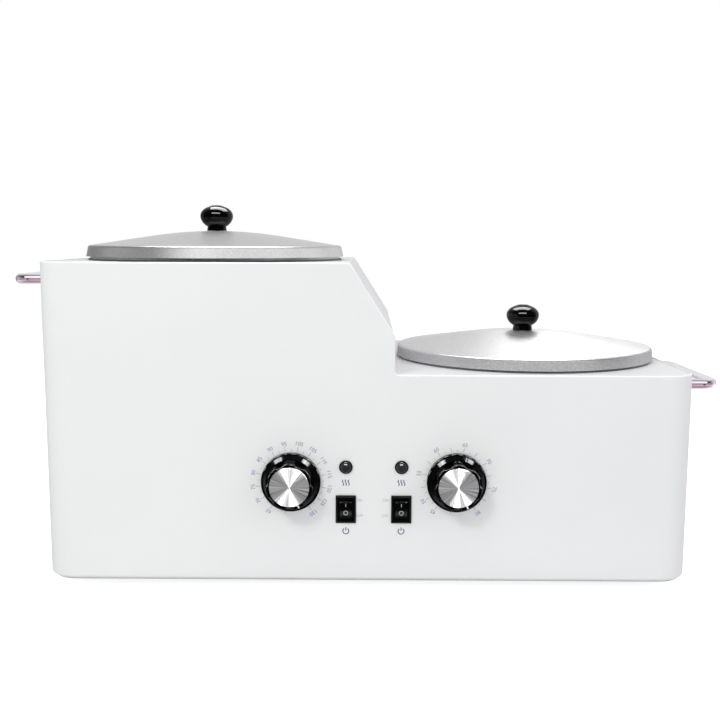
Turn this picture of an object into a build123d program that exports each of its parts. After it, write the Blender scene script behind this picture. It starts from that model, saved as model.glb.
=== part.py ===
from build123d import *
import os
from math import acos, atan, atan2, cos, degrees, hypot, radians, sin, tan

# Double wax warmer: a stepped sheet steel case that holds two heated wells, each with
# a lift-out wax pot and a lid, and a control panel on its front with a dial, a lamp
# and a rocker switch for each side.
# Sizes are in millimetres. The model is laid out with x = 0 and y = 0 at the middle
# of the case and z = 0 on the table, the front facing -Y. At the end everything is
# moved along Y so that the origin is the middle of the whole footprint.

# Case. From its left end to its right it holds a margin, the left lid, the rest of
# the high deck, the slope, a gap beside the step, the right lid and a margin.
LEFT_MARGIN = 9.1
HIGH_MARGIN = 7.7
SLOPE_RUN = 33.0
LOW_MARGIN = 5.3
RIGHT_MARGIN = 4.5
CASE_D = 236.0
CORNER_R = 22.5
WALL = 1.5
HIGH_TOP = 244.0
LOW_TOP = 163.0
SLOPE_END_Z = 191.4
BEND_R = 3.0
TOP_ROUND = 1.0
BOTTOM_ROUND = 2.5
LIP_W = 20.0

# Deck
DECK_T = 1.2
DECK_SEAM = 0.3
DECK_SINK = 0.5
DECK_ROUND = 0.8
DECK_FLANGE_H = 9.0
WASHER_CLEAR = 1.0

# Base plate and feet
BASE_T = 1.2
BASE_INSET = 3.0
BASE_SCREW_INSET = 16.0
BASE_SCREW_X = 150.0
VENT_W = 5.0
VENT_L = 44.0
VENT_PITCH = 16.0
VENT_COUNT = 6
FOOT_H = 6.8
FOOT_TOP_R = 12.0
FOOT_TAPER = 1.5
FOOT_INSET_X = 46.0
FOOT_INSET_Y = 38.0
FOOT_WEB = 3.2
FOOT_HEAD_CLEAR = 1.4

# Metric fasteners: shank radius, head radius, head height. The drive recess and the
# rounding of a head are shares of its radius and its height.
M4_R = 2.0
M4_HEAD_R = 3.8
M4_HEAD_H = 2.4
M4_NUT_AF = 7.0
M4_NUT_H = 3.2
M6_R = 3.0
M6_WASHER_R = 6.5
M6_WASHER_T = 1.2
M6_NUT_AF = 10.0
M6_NUT_H = 5.0
M3_R = 1.5
M3_HEAD_R = 2.8
M3_HEAD_H = 2.0
M3_NUT_AF = 5.5
M3_NUT_H = 2.4
THREAD_CLEAR = 0.05
HOLE_CLEAR = 0.1
SCREW_TIP = 4.0
TIP_CLEAR = 2.0
SCREW_PROUD = 1.0
RECESS_W = 0.9
RECESS_SPAN = 1.2
RECESS_DEPTH = 0.5
HEAD_ROUND = 0.45

# Handles
ROD_R = 4.0
HANDLE_SPAN = 116.0
HANDLE_REACH = 37.6
HANDLE_BEND = 12.0
HANDLE_DROP = 15.0
STUD_TIP = 3.0

# Wells and what is round them
WELL_R = 91.5
WELL_T = 1.0
WELL_FLANGE_T = 1.2
WELL_FLANGE_W = 12.0
WELL_CORNER = 6.0
WELL_HOLE_CLEAR = 0.4
BAND_T = 1.5
BAND_H = 50.0
BAND_LIFT = 12.0
BAND_SPLIT = 14.0
BAND_CLEAR = 0.1
POST_R = 2.0
POST_L = 7.0
POST_APART = 24.0
TERMINAL_TURN = 20.0
JACKET_T = 3.5
JACKET_CLEAR = 0.2
JACKET_TOP_GAP = 15.0
WINDOW_W = 40.0
WINDOW_H = 20.0

# Pots
POT_CLEAR = 1.5
POT_T = 1.5
POT_CORNER = 9.0
POT_FLOOR_GAP = 0.5
LEFT_POT_H = 193.0
RIGHT_POT_H = 130.0
COLLAR_W = 13.0
COLLAR_BEND = 3.0
MOUTH_BEND = 2.5

# Lids
LID_OVERHANG = 3.1
LID_T = 1.2
LID_SKIRT_H = 8.7
LID_SLOPE = 0.155
LID_DOME_R = 52.0
LID_BEND = 2.2
LID_GAP = 0.3
LEFT_SKIRT_GAP = 2.5
RIGHT_SKIRT_GAP = 1.3
LEFT_SKIRT_FLARE = 1.9
RIGHT_SKIRT_FLARE = 0.5
KNOB_R = 13.6
KNOB_H = 21.2
KNOB_CROWN_H = 8.8
KNOB_BELLY_H = 10.8
KNOB_NECK_R = 7.7
KNOB_BASE_R = 8.2
KNOB_CURVE_STEPS = 4
KNOB_SEAT = 0.1
KNOB_BORE_DEPTH = 12.0
KNOB_BORE_SPARE = 1.5
LID_WASHER_R = 6.0
LID_WASHER_T = 1.0

# Control panel, measured on the front face. Both sides mirror about CONTROLS_X.
CONTROLS_X = 4.8
DIAL_SPREAD = 61.0
DIAL_Z = 83.4
CONTROL_SPREAD = 20.5
LAMP_Z = 94.4
SWITCH_Z = 62.5

# Dials, standing out of the panel
DIAL_R = 22.0
DIAL_H = 16.5
DIAL_GAP = 1.0
SKIRT_H = 3.0
SKIRT_SHOULDER = 2.4
SKIRT_ROUND = 1.0
SKIRT_WEB = 1.2
SHOULDER_IN = 1.6
SHOULDER_OUT = 0.4
GRIP_R = 17.6
GRIP_TAPER = 0.6
GRIP_ROUND = 0.8
FLUTES = 7
FLUTE_R = 8.4
FLUTE_DEPTH = 1.9
POINTER_ANGLE = 155.0
CAP_R = 14.5
CAP_T = 0.9
CAP_SINK = 0.5
CAP_CLEAR = 0.1
CAP_ROUND = 0.3
DIAL_HOLLOW_R = 19.5
DIAL_HUB_R = 6.0
DIAL_HUB_DEPTH = 9.0
SHAFT_R = 3.0
SHAFT_FLAT = 1.5
SHAFT_CLEAR = 0.05
SHAFT_IN_BODY = 12.0
SHAFT_END_GAP = 0.5

# Thermostats behind the panel
STAT_W = 36.0
STAT_H = 42.0
STAT_D = 23.0
STAT_ROUND = 3.0
BUSH_R = 4.9
STAT_SCREW_X = 12.0
CAPILLARY_R = 1.0
BULB_R = 3.0
BULB_L = 60.0
BULB_CLEAR = 0.2
CAPILLARY_DROP = 16.0
CAPILLARY_RAMP = 26.0
CAPILLARY_LEAD = 14.0

# Rocker switches
BEZEL_W = 15.0
BEZEL_H = 21.0
BEZEL_T = 2.0
BEZEL_BEVEL = 1.2
BEZEL_ROUND = 0.5
CUTOUT_W = 13.0
CUTOUT_H = 19.0
SWITCH_FIT = 0.1
SWITCH_DEPTH = 18.0
OPENING_W = 9.0
OPENING_H = 15.0
OPENING_DEPTH = 9.0
PADDLE_CLEAR = 0.15
PADDLE_FACE = 2.7
PADDLE_BACK = 3.5
PADDLE_DISH = 10.0
PADDLE_TILT = 10.0
PADDLE_TIP_ROUND = 0.4
PIVOT_R = 1.0
PIVOT_PIN_L = 0.8
PIVOT_IN = 2.6
TAB_W = 4.8
TAB_T = 0.8
TAB_L = 7.0
TAB_SEAT = 2.0
TAB_APART = 8.0

# Lamps
LAMP_RIM_R = 5.0
LAMP_RIM_T = 1.3
LAMP_RIM_ROUND = 0.5
LAMP_LENS_R = 4.1
LAMP_LENS_H = 2.3
LAMP_STEM_R = 3.2
LAMP_STEM_L = 8.0
LAMP_STEM_SPARE = 1.0
LAMP_BODY_R = 4.4
LAMP_BODY_L = 20.0
LAMP_NUT_AF = 11.0
LAMP_NUT_H = 3.0
LAMP_TAB_W = 2.8
LAMP_TAB_APART = 2.4

# Mains inlet in the back wall
INLET_X = 0.0
INLET_Z = 48.0
INLET_FLANGE_W = 50.0
INLET_FLANGE_H = 24.0
INLET_FLANGE_T = 3.0
INLET_CORNER_R = 6.0
INLET_ROUND = 0.8
INLET_BODY_W = 27.6
INLET_BODY_H = 20.2
INLET_BODY_D = 22.0
SOCKET_W = 23.6
SOCKET_H = 16.2
SOCKET_D = 17.0
SOCKET_CORNER = 4.0
INLET_SCREW_X = 20.0
PIN_T = 2.0
PIN_W = 4.0
PIN_RECESS = 6.0
PIN_SPREAD = 7.0
PIN_DROP = 2.0
EARTH_PIN_UP = 2.0
PIN_TAIL = 8.0

# Terminal block, earth stud, thermal cut-outs and wires
BLOCK_W = 60.0
BLOCK_D = 20.0
BLOCK_H = 17.0
BLOCK_INSET = 68.0
BLOCK_SCREW_X = 26.0
BLOCK_RECESS = 8.0
BLOCK_HEAD_CLEAR = 0.4
BLOCK_CORNER = 3.0
BLOCK_WAYS = 5
BLOCK_PITCH = 8.0
BLOCK_SLOT_R = 2.6
BLOCK_SLOT_DEPTH = 6.0
EARTH_X = 44.0
EARTH_INSET = 40.0
CUTOUT_DISC_R = 8.0
CUTOUT_DISC_H = 6.0
CUTOUT_DISC_Y = 44.0
WIRE_R = 1.1
WIRE_BEND_MAX = 14.0
WIRE_BEND_SHARE = 0.45
WIRE_Z = 17.0
POST_LEAD = 14.0
BLOCK_LEAD = 16.0
SWITCH_LEAD = 18.0
LINK_LEAD = 10.0
LINK_RISE = 6.0
STAT_LEAD_Z = 8.0
STAT_LEAD_Y = 5.0
HEAT_RUN = 34.0
NEUTRAL_TURN = 12.0
EARTH_LEAD = 10.0
EARTH_DROP = 12.0
EYE_LAP = 0.6

# Values worked out from the ones above
WELL_OUT_R = WELL_R + WELL_T
POT_R = WELL_R - POT_CLEAR
COLLAR_R = POT_R + COLLAR_W
LID_R = COLLAR_R + LID_OVERHANG
TOP_W = HIGH_MARGIN + SLOPE_RUN + LOW_MARGIN
CASE_W = LEFT_MARGIN + 4 * LID_R + TOP_W + RIGHT_MARGIN
LEFT_X = LEFT_MARGIN + LID_R - CASE_W / 2
RIGHT_X = CASE_W / 2 - RIGHT_MARGIN - LID_R
STEP_X = RIGHT_X - LID_R - LOW_MARGIN
SLOPE_TOP_X = STEP_X - SLOPE_RUN
CASE_BOTTOM = FOOT_H + BASE_T
FRONT_Y = -CASE_D / 2
BACK_Y = CASE_D / 2
BLOCK_Y = BACK_Y - BLOCK_INSET
EARTH_Y = BACK_Y - EARTH_INSET
SLOPE_ANGLE = atan2(HIGH_TOP - SLOPE_END_Z, STEP_X - SLOPE_TOP_X)
FRONT_STANDOUT = DIAL_GAP + DIAL_H - CAP_SINK + CAP_T
BACK_STANDOUT = INLET_FLANGE_T + M3_HEAD_H
SHIFT_Y = (FRONT_STANDOUT - BACK_STANDOUT) / 2
BAND_R = WELL_OUT_R + BAND_CLEAR
JACKET_R = BAND_R + BAND_T + JACKET_CLEAR
REACH_OUT = (Align.CENTER, Align.CENTER, Align.MIN)
REACH_IN = (Align.CENTER, Align.CENTER, Align.MAX)
NEAR = 0.01


class Side:
    """One heated side of the warmer: its pot, its lid, and where its controls are."""

    def __init__(self, name, sign, x, deck_top, pot_h, skirt_gap, skirt_flare):
        self.name = name
        self.sign = sign
        self.x = x
        self.deck_z = deck_top - DECK_SINK
        self.skirt_z = deck_top + skirt_gap
        self.lid_edge_z = self.skirt_z + LID_SKIRT_H
        self.lid_edge_r = LID_R - skirt_flare
        self.flange_z = self.deck_z + WELL_FLANGE_T
        under = lid_top_z(self, COLLAR_R) - LID_T / cos(atan(LID_SLOPE))
        self.rim_z = under - LID_GAP
        self.pot_z = self.rim_z - pot_h
        self.floor_z = self.pot_z - POT_FLOOR_GAP
        self.under_z = self.floor_z - WELL_T
        self.dial_x = CONTROLS_X + sign * DIAL_SPREAD
        self.control_x = CONTROLS_X + sign * CONTROL_SPREAD
        self.terminal_angle = 90 + sign * (90 + TERMINAL_TURN)
        self.handle_z = deck_top - HANDLE_DROP


def lid_top_z(side, radius):
    """Height of the lid's cone at a radius outside its rounded crown."""
    return side.lid_edge_z + (side.lid_edge_r - radius) * LID_SLOPE


def lid_crown_z(side):
    """Height of the middle of the lid, where the cone runs into a round crown."""
    angle = atan(LID_SLOPE)
    return lid_top_z(side, LID_DOME_R) + LID_DOME_R / sin(angle) * (1 - cos(angle))


LEFT = Side("left", -1, LEFT_X, HIGH_TOP, LEFT_POT_H, LEFT_SKIRT_GAP, LEFT_SKIRT_FLARE)
RIGHT = Side("right", 1, RIGHT_X, LOW_TOP, RIGHT_POT_H, RIGHT_SKIRT_GAP, RIGHT_SKIRT_FLARE)
SIDES = (LEFT, RIGHT)


# Helpers

def front(x, z):
    """Placing on the front panel: local Z points out of the panel, local Y is up."""
    return Plane((x, FRONT_Y, z), x_dir=(1, 0, 0), z_dir=(0, -1, 0)).location


def back(x, z):
    """Placing on the back wall: local Z points out of it, local Y is up."""
    return Plane((x, BACK_Y, z), x_dir=(-1, 0, 0), z_dir=(0, 1, 0)).location


def disc(radius, height, at=(0, 0, 0), align=REACH_OUT):
    return Pos(*at) * Cylinder(radius, height, align=align)


def block(width, depth, height, at=(0, 0, 0), align=REACH_OUT):
    return Pos(*at) * Box(width, depth, height, align=align)


def hexagon(across_flats, height, bore, at=(0, 0, 0)):
    """A hexagon nut standing on the point, with its bore."""
    nut = extrude(RegularPolygon(across_flats / 2, 6, major_radius=False), height)
    return Pos(*at) * (nut - Cylinder(bore, height, align=REACH_OUT))


def ring(outer, inner, height, at=(0, 0, 0)):
    return Pos(*at) * (
        Cylinder(outer, height, align=REACH_OUT)
        - Cylinder(inner, height, align=REACH_OUT)
    )


def pan_screw(shank_r, head_r, head_h, length):
    """A screw with its head below z = 0 and its shank rising from z = 0."""
    head = Cylinder(head_r, head_h, align=REACH_IN)
    lower_rim = head.edges().group_by(Axis.Z)[0]
    head = fillet(lower_rim, head_h * HEAD_ROUND)
    recess_h = head_h * RECESS_DEPTH
    span = head_r * RECESS_SPAN
    slot = block(span, RECESS_W, recess_h, (0, 0, -head_h))
    slot += block(RECESS_W, span, recess_h, (0, 0, -head_h))
    return head - slot + Cylinder(shank_r, length, align=REACH_OUT)


def plan(inset, bottom, top):
    """The case's rounded plan, moved in by inset, as a block between two heights."""
    shape = RectangleRounded(CASE_W - 2 * inset, CASE_D - 2 * inset, CORNER_R - inset)
    return Pos(0, 0, bottom) * extrude(shape, top - bottom)


def under_outline(drop):
    """Everything under the case's stepped outline, moved in by drop."""
    top_x = SLOPE_TOP_X - drop * tan(SLOPE_ANGLE / 2)
    end_z = SLOPE_END_Z - drop * tan((radians(90) - SLOPE_ANGLE) / 2)
    points = [
        (-CASE_W, -CASE_D),
        (-CASE_W, HIGH_TOP - drop),
        (top_x, HIGH_TOP - drop),
        (STEP_X - drop, end_z),
        (STEP_X - drop, LOW_TOP - drop),
        (CASE_W, LOW_TOP - drop),
        (CASE_W, -CASE_D),
    ]
    outer = max(BEND_R - drop, 0)
    radii = [0, 0, outer, outer, BEND_R + drop, 0, 0]
    face = make_face(FilletPolyline(*points, radius=radii, close=True))
    return extrude(Plane.XZ * face, CASE_D, both=True)


def outer_edges(solid, inset):
    """The edges where a block's stepped top meets its sides."""
    found = []
    half_w = CASE_W / 2 - inset
    for edge in solid.edges():
        middle = edge.center()
        box = edge.bounding_box()
        upright = box.size.Z > WALL and box.size.X < NEAR and box.size.Y < NEAR
        across = box.size.Y > WALL and box.size.X < NEAR and box.size.Z < NEAR
        corner_seam = upright and abs(middle.X) > STEP_X + CORNER_R
        inner_bend = across and abs(middle.X) < half_w - WALL
        low = box.max.Z < CASE_BOTTOM + WALL
        if not (corner_seam or inner_bend or low):
            found.append(edge)
    return found


def tube(points, radius, bend_max=WIRE_BEND_MAX):
    """A round wire or pipe along straight runs joined by the largest arcs that fit."""
    runs = [Vector(*b) - Vector(*a) for a, b in zip(points, points[1:])]
    bends = []
    for one, two in zip(runs, runs[1:]):
        turn = radians(one.get_angle(two))
        shorter = WIRE_BEND_SHARE * min(one.length, two.length)
        bends.append(min(shorter / tan(turn / 2), bend_max))
    path = FilletPolyline(*points, radius=bends)
    start = Plane(points[0], z_dir=runs[0])
    return sweep(start * Circle(radius), path=path)


def polar(side, radius, angle, z):
    """A point about a side's upright axis."""
    turn = radians(angle)
    return (side.x + radius * cos(turn), radius * sin(turn), z)


# Case

def foot_places():
    half_x = CASE_W / 2 - FOOT_INSET_X
    half_y = CASE_D / 2 - FOOT_INSET_Y
    return [(x, y) for x in (-half_x, half_x) for y in (-half_y, half_y)]


def base_screw_places():
    side_y = CASE_D / 2 - BASE_SCREW_INSET
    side_x = CASE_W / 2 - BASE_SCREW_INSET
    places = [(x, y) for x in (-BASE_SCREW_X, 0, BASE_SCREW_X) for y in (-side_y, side_y)]
    return places + [(-side_x, 0), (side_x, 0)]


def handle_places(side):
    half = HANDLE_SPAN / 2
    return [(side.sign * CASE_W / 2, y, side.handle_z) for y in (-half, half)]


def panel_holes():
    """Everything cut through the front wall for the controls."""
    cuts = Part()
    depth = WALL * 2
    for side in SIDES:
        at_dial = front(side.dial_x, DIAL_Z)
        cuts += at_dial * Cylinder(BUSH_R + HOLE_CLEAR, 2 * depth)
        for x in (-STAT_SCREW_X, STAT_SCREW_X):
            cuts += at_dial * countersunk_screw((x, 0, 0), HOLE_CLEAR, depth)
        cuts += front(side.control_x, LAMP_Z) * Cylinder(LAMP_BODY_R + HOLE_CLEAR, 2 * depth)
        cuts += front(side.control_x, SWITCH_Z) * Box(CUTOUT_W, CUTOUT_H, 2 * depth)
    return cuts


def body_shell():
    """The wrapped case: front, back and ends in one sheet, with a lip turned in below."""
    shell = plan(0, CASE_BOTTOM, HIGH_TOP) & under_outline(0)
    shell = fillet(outer_edges(shell, 0), TOP_ROUND)
    shell = fillet(shell.edges().group_by(Axis.Z)[0], BOTTOM_ROUND)
    hollow = plan(WALL, CASE_BOTTOM + WALL, HIGH_TOP + WALL)
    inner_bend = BOTTOM_ROUND - WALL
    hollow = fillet(hollow.edges().group_by(Axis.Z)[0], inner_bend)
    shell -= hollow
    shell -= plan(LIP_W, CASE_BOTTOM - WALL, CASE_BOTTOM + 2 * WALL)
    shell -= panel_holes()
    shell -= back(INLET_X, INLET_Z) * Box(
        INLET_BODY_W + 2 * HOLE_CLEAR, INLET_BODY_H + 2 * HOLE_CLEAR, 4 * WALL
    )
    for x in (-INLET_SCREW_X, INLET_SCREW_X):
        shell -= back(INLET_X, INLET_Z) * Pos(x, 0, 0) * Cylinder(M3_R + HOLE_CLEAR, 4 * WALL)
    for side in SIDES:
        for place in handle_places(side):
            shell -= Pos(*place) * Rot(0, 90, 0) * Cylinder(M6_R + HOLE_CLEAR, 4 * WALL)
    for x, y in base_screw_places():
        shell -= disc(M4_R + THREAD_CLEAR, 4 * WALL, (x, y, CASE_BOTTOM - WALL))
    return shell


def deck_plate():
    """The stepped top sheet with its slope, step wall and two well holes."""
    edge = WALL + DECK_SEAM
    deck = plan(edge, CASE_BOTTOM, HIGH_TOP) & under_outline(DECK_SINK)
    deck = fillet(outer_edges(deck, edge), DECK_ROUND)
    deck -= plan(edge + DECK_T, 0, HIGH_TOP) & under_outline(DECK_SINK + DECK_T)
    deck -= under_outline(DECK_SINK + DECK_FLANGE_H)
    hole_r = WELL_OUT_R + WELL_HOLE_CLEAR
    for side in SIDES:
        deck -= disc(hole_r, 4 * DECK_T, (side.x, 0, side.deck_z - 2 * DECK_T))
        for place in handle_places(side):
            around = M6_WASHER_R + WASHER_CLEAR
            deck -= Pos(*place) * Rot(0, 90, 0) * Cylinder(around, 8 * WALL)
    return deck


def base_plate():
    """The bottom cover, screwed up into the lip, with vents under each well."""
    plate = plan(BASE_INSET, FOOT_H, CASE_BOTTOM)
    hole_z = FOOT_H - BASE_T
    for x, y in base_screw_places() + foot_places():
        plate -= disc(M4_R + HOLE_CLEAR, 4 * BASE_T, (x, y, hole_z))
    for side in SIDES:
        for index in range(VENT_COUNT):
            x = side.x + (index - (VENT_COUNT - 1) / 2) * VENT_PITCH
            slot = extrude(SlotOverall(VENT_L, VENT_W, rotation=90), 4 * BASE_T)
            plate -= Pos(x, 0, hole_z) * slot
    for x in (-BLOCK_SCREW_X, BLOCK_SCREW_X):
        plate -= disc(M3_R + HOLE_CLEAR, 4 * BASE_T, (CONTROLS_X + x, BLOCK_Y, hole_z))
    plate -= disc(M4_R + HOLE_CLEAR, 4 * BASE_T, (EARTH_X, EARTH_Y, hole_z))
    return plate


def rubber_feet():
    foot = Cone(FOOT_TOP_R - FOOT_TAPER, FOOT_TOP_R, FOOT_H, align=REACH_OUT)
    foot -= disc(M4_HEAD_R + FOOT_HEAD_CLEAR, FOOT_H - FOOT_WEB)
    foot -= disc(M4_R + HOLE_CLEAR, FOOT_H)
    return [Pos(x, y, 0) * foot for x, y in foot_places()]


def foot_screws():
    length = FOOT_WEB + BASE_T + M4_NUT_H + SCREW_PROUD
    screw = pan_screw(M4_R, M4_HEAD_R, M4_HEAD_H, length)
    return [Pos(x, y, FOOT_H - FOOT_WEB) * screw for x, y in foot_places()]


def foot_nuts():
    nut = hexagon(M4_NUT_AF, M4_NUT_H, M4_R + THREAD_CLEAR)
    return [Pos(x, y, CASE_BOTTOM) * nut for x, y in foot_places()]


def base_screws():
    screw = pan_screw(M4_R, M4_HEAD_R, M4_HEAD_H, BASE_T + WALL + SCREW_TIP)
    return [Pos(x, y, FOOT_H) * screw for x, y in base_screw_places()]


# Handles

def handle(side):
    """A bent rod whose ends step down to studs that go through the end wall."""
    wall = side.sign * CASE_W / 2
    grip = side.sign * (CASE_W / 2 + HANDLE_REACH - ROD_R)
    half = HANDLE_SPAN / 2
    z = side.handle_z
    points = [(wall, -half, z), (grip, -half, z), (grip, half, z), (wall, half, z)]
    path = FilletPolyline(*points, radius=HANDLE_BEND)
    rod = sweep(Plane(points[0], z_dir=(side.sign, 0, 0)) * Circle(ROD_R), path=path)
    stud_l = WALL + M6_WASHER_T + M6_NUT_H + STUD_TIP
    turn = Rot(0, -90 * side.sign, 0)
    for place in handle_places(side):
        rod += Pos(*place) * turn * Cylinder(M6_R, stud_l, align=REACH_OUT)
    return rod


def inside_ends(piece, depth):
    """Copies of a fastener on the inner face of each end wall, at each stud."""
    placed = []
    for side in SIDES:
        for place in handle_places(side):
            inward = Pos(*place) * Rot(0, -90 * side.sign, 0) * Pos(0, 0, depth)
            placed.append(inward * piece)
    return placed


def handle_washers():
    return inside_ends(ring(M6_WASHER_R, M6_R + HOLE_CLEAR, M6_WASHER_T), WALL)


def handle_nuts():
    nut = hexagon(M6_NUT_AF, M6_NUT_H, M6_R + THREAD_CLEAR)
    return inside_ends(nut, WALL + M6_WASHER_T)


# Heated wells

def heating_well(side):
    """A cup that hangs by its flange from the deck and takes the pot."""
    height = side.deck_z - side.under_z
    well = disc(WELL_OUT_R, height, (side.x, 0, side.under_z))
    well = fillet(well.edges().group_by(Axis.Z)[0], WELL_CORNER)
    flange_r = WELL_OUT_R + WELL_FLANGE_W
    well += disc(flange_r, WELL_FLANGE_T, (side.x, 0, side.deck_z))
    hollow = disc(WELL_R, side.flange_z - side.floor_z, (side.x, 0, side.floor_z))
    return well - fillet(hollow.edges().group_by(Axis.Z)[0], WELL_CORNER - WELL_T)


def band_z(side):
    return side.under_z + BAND_LIFT


def post_angles(side):
    """The two terminal posts, one on each side of the band's split."""
    half = degrees(POST_APART / 2 / BAND_R)
    return (side.terminal_angle - half, side.terminal_angle + half)


def radial(side, angle, z):
    """Placing on a well's axis with local Z pointing out at an angle."""
    return Pos(side.x, 0, z) * Rot(0, 0, angle) * Rot(0, 90, 0)


def heater_band(side):
    """A split heating band round the well, with a terminal post at each end."""
    z = band_z(side)
    band = ring(BAND_R + BAND_T, BAND_R, BAND_H, (side.x, 0, z))
    split = Box(4 * BAND_T, BAND_SPLIT, BAND_H)
    middle = Pos(side.x, 0, z + BAND_H / 2) * Rot(0, 0, side.terminal_angle)
    band -= middle * Pos(BAND_R, 0, 0) * split
    for angle in post_angles(side):
        post = disc(POST_R, BAND_T / 2 + POST_L, (0, 0, BAND_R + BAND_T / 2))
        band += radial(side, angle, z + BAND_H / 2) * post
    return band


def post_tip(side, angle, beyond=0):
    """The outer end of a terminal post, or a point straight out beyond it."""
    reach = BAND_R + BAND_T + POST_L + beyond
    return polar(side, reach, angle, band_z(side) + BAND_H / 2)


def insulation_jacket(side):
    """The mineral wool sleeve round the band, with a window for the posts."""
    height = side.deck_z - JACKET_TOP_GAP - side.under_z
    jacket = ring(JACKET_R + JACKET_T, JACKET_R, height, (side.x, 0, side.under_z))
    middle = Pos(side.x, 0, band_z(side) + BAND_H / 2) * Rot(0, 0, side.terminal_angle)
    return jacket - middle * Pos(JACKET_R, 0, 0) * Box(8 * JACKET_T, WINDOW_W, WINDOW_H)


def thermal_cutouts():
    """A button cut-out under each well's floor."""
    placed = []
    for side in SIDES:
        top = (side.x, CUTOUT_DISC_Y, side.under_z)
        button = disc(CUTOUT_DISC_R, CUTOUT_DISC_H, top, REACH_IN)
        tab_z = side.under_z - CUTOUT_DISC_H
        for x in (-CUTOUT_DISC_R / 2, CUTOUT_DISC_R / 2):
            spot = (side.x + x, CUTOUT_DISC_Y, tab_z)
            button += block(TAB_T, TAB_W, TAB_L, spot, REACH_IN)
        placed.append(button)
    return placed


# Pots and lids

def pot(side):
    """A spun pot whose rim turns out and down, so that it rests on the well's flange."""
    inner = POT_R - POT_T
    collar_in = COLLAR_R - POT_T
    corners = [
        (0, side.pot_z, 0),
        (POT_R, side.pot_z, POT_CORNER),
        (POT_R, side.rim_z - POT_T, MOUTH_BEND - POT_T),
        (collar_in, side.rim_z - POT_T, COLLAR_BEND - POT_T),
        (collar_in, side.flange_z, 0),
        (COLLAR_R, side.flange_z, 0),
        (COLLAR_R, side.rim_z, COLLAR_BEND),
        (inner, side.rim_z, MOUTH_BEND),
        (inner, side.pot_z + POT_T, POT_CORNER - POT_T),
        (0, side.pot_z + POT_T, 0),
    ]
    outline = FilletPolyline(
        *[(r, z) for r, z, bend in corners],
        radius=[bend for r, z, bend in corners],
        close=True,
    )
    return Pos(side.x, 0, 0) * revolve(Plane.XZ * make_face(outline), Axis.Z)


def lid_solid(side, inset, bend):
    """The lid's outer form, moved in by inset, as a full solid."""
    angle = atan(LID_SLOPE)
    down = inset / cos(angle)
    crown_r = LID_DOME_R / sin(angle)
    middle_z = lid_crown_z(side) - crown_r
    arc_r = crown_r - inset
    meet = (arc_r * sin(angle), middle_z + arc_r * cos(angle))
    half = (arc_r * sin(angle / 2), middle_z + arc_r * cos(angle / 2))
    top = (0, middle_z + arc_r)
    edge_r = side.lid_edge_r - inset
    edge_z = lid_top_z(side, edge_r) - down
    base_r = LID_R - inset
    lines = Polyline((0, side.skirt_z), (base_r, side.skirt_z), (edge_r, edge_z), meet)
    lines += ThreePointArc(meet, half, top)
    lines += Line(top, (0, side.skirt_z))
    face = make_face(Plane.XZ * lines)
    solid = revolve(face, Axis.Z)
    rims = [
        edge
        for edge in solid.edges()
        if abs(edge.bounding_box().size.X - 2 * edge_r) < NEAR
        and abs(edge.center().Z - edge_z) < NEAR
        and edge.geom_type == GeomType.CIRCLE
    ]
    return fillet(rims, bend)


def lid_cover(side):
    """The spun lid: a shallow cone with a round crown and a skirt."""
    cover = lid_solid(side, 0, LID_BEND) - lid_solid(side, LID_T, LID_BEND - LID_T)
    cover -= disc(M4_R + HOLE_CLEAR, KNOB_H, (0, 0, lid_crown_z(side) - KNOB_H / 2))
    return Pos(side.x, 0, 0) * cover


def lid_knob(side):
    """A flattened ball on a short neck, bored from below for its screw."""
    belly_z = KNOB_H - KNOB_CROWN_H

    def oval(height, angle):
        return Vector(KNOB_R * cos(angle), belly_z + height * sin(angle))

    low = -acos(KNOB_NECK_R / KNOB_R)
    shares = [index / KNOB_CURVE_STEPS for index in range(KNOB_CURVE_STEPS + 1)]
    belly_at = [oval(KNOB_BELLY_H, low * (1 - share)) for share in shares]
    crown_at = [oval(KNOB_CROWN_H, radians(90) * share) for share in shares]
    low_heading = (-KNOB_R * sin(low), KNOB_BELLY_H * cos(low))
    belly = Spline(*belly_at, tangents=[low_heading, (0, 1)])
    crown = Spline(*crown_at, tangents=[(0, 1), (-1, 0)])
    bore_r = M4_R + THREAD_CLEAR
    neck = Polyline(
        (0, KNOB_H),
        (0, KNOB_BORE_DEPTH),
        (bore_r, KNOB_BORE_DEPTH),
        (bore_r, 0),
        (KNOB_BASE_R, 0),
        belly_at[0],
    )
    knob = revolve(make_face(Plane.XZ * (belly + crown + neck)), Axis.Z)
    return Pos(side.x, 0, lid_crown_z(side) + KNOB_SEAT) * knob


def lid_washer(side):
    top = lid_crown_z(side) - LID_T - KNOB_SEAT
    washer = ring(LID_WASHER_R, M4_R + HOLE_CLEAR, LID_WASHER_T)
    return Pos(side.x, 0, top - LID_WASHER_T) * washer


def lid_screw(side):
    top = lid_crown_z(side) - LID_T - KNOB_SEAT - LID_WASHER_T
    length = LID_WASHER_T + LID_T + 2 * KNOB_SEAT + KNOB_BORE_DEPTH
    screw = pan_screw(M4_R, M4_HEAD_R, M4_HEAD_H, length - KNOB_BORE_SPARE)
    return Pos(side.x, 0, top) * screw


# Dials and thermostats

def countersunk_screw(at, grow, length):
    """A flat-head screw sunk into the panel, or with grow, the hole for it."""
    slope_h = M3_HEAD_R - M3_R
    head = Cone(M3_R + grow, M3_HEAD_R + grow, slope_h, align=REACH_IN)
    shank = Cylinder(M3_R + grow, length, align=REACH_IN)
    screw = head + shank
    if grow:
        screw += Cylinder(M3_HEAD_R + grow, WALL, align=REACH_OUT)
    return Pos(*at) * screw


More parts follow.
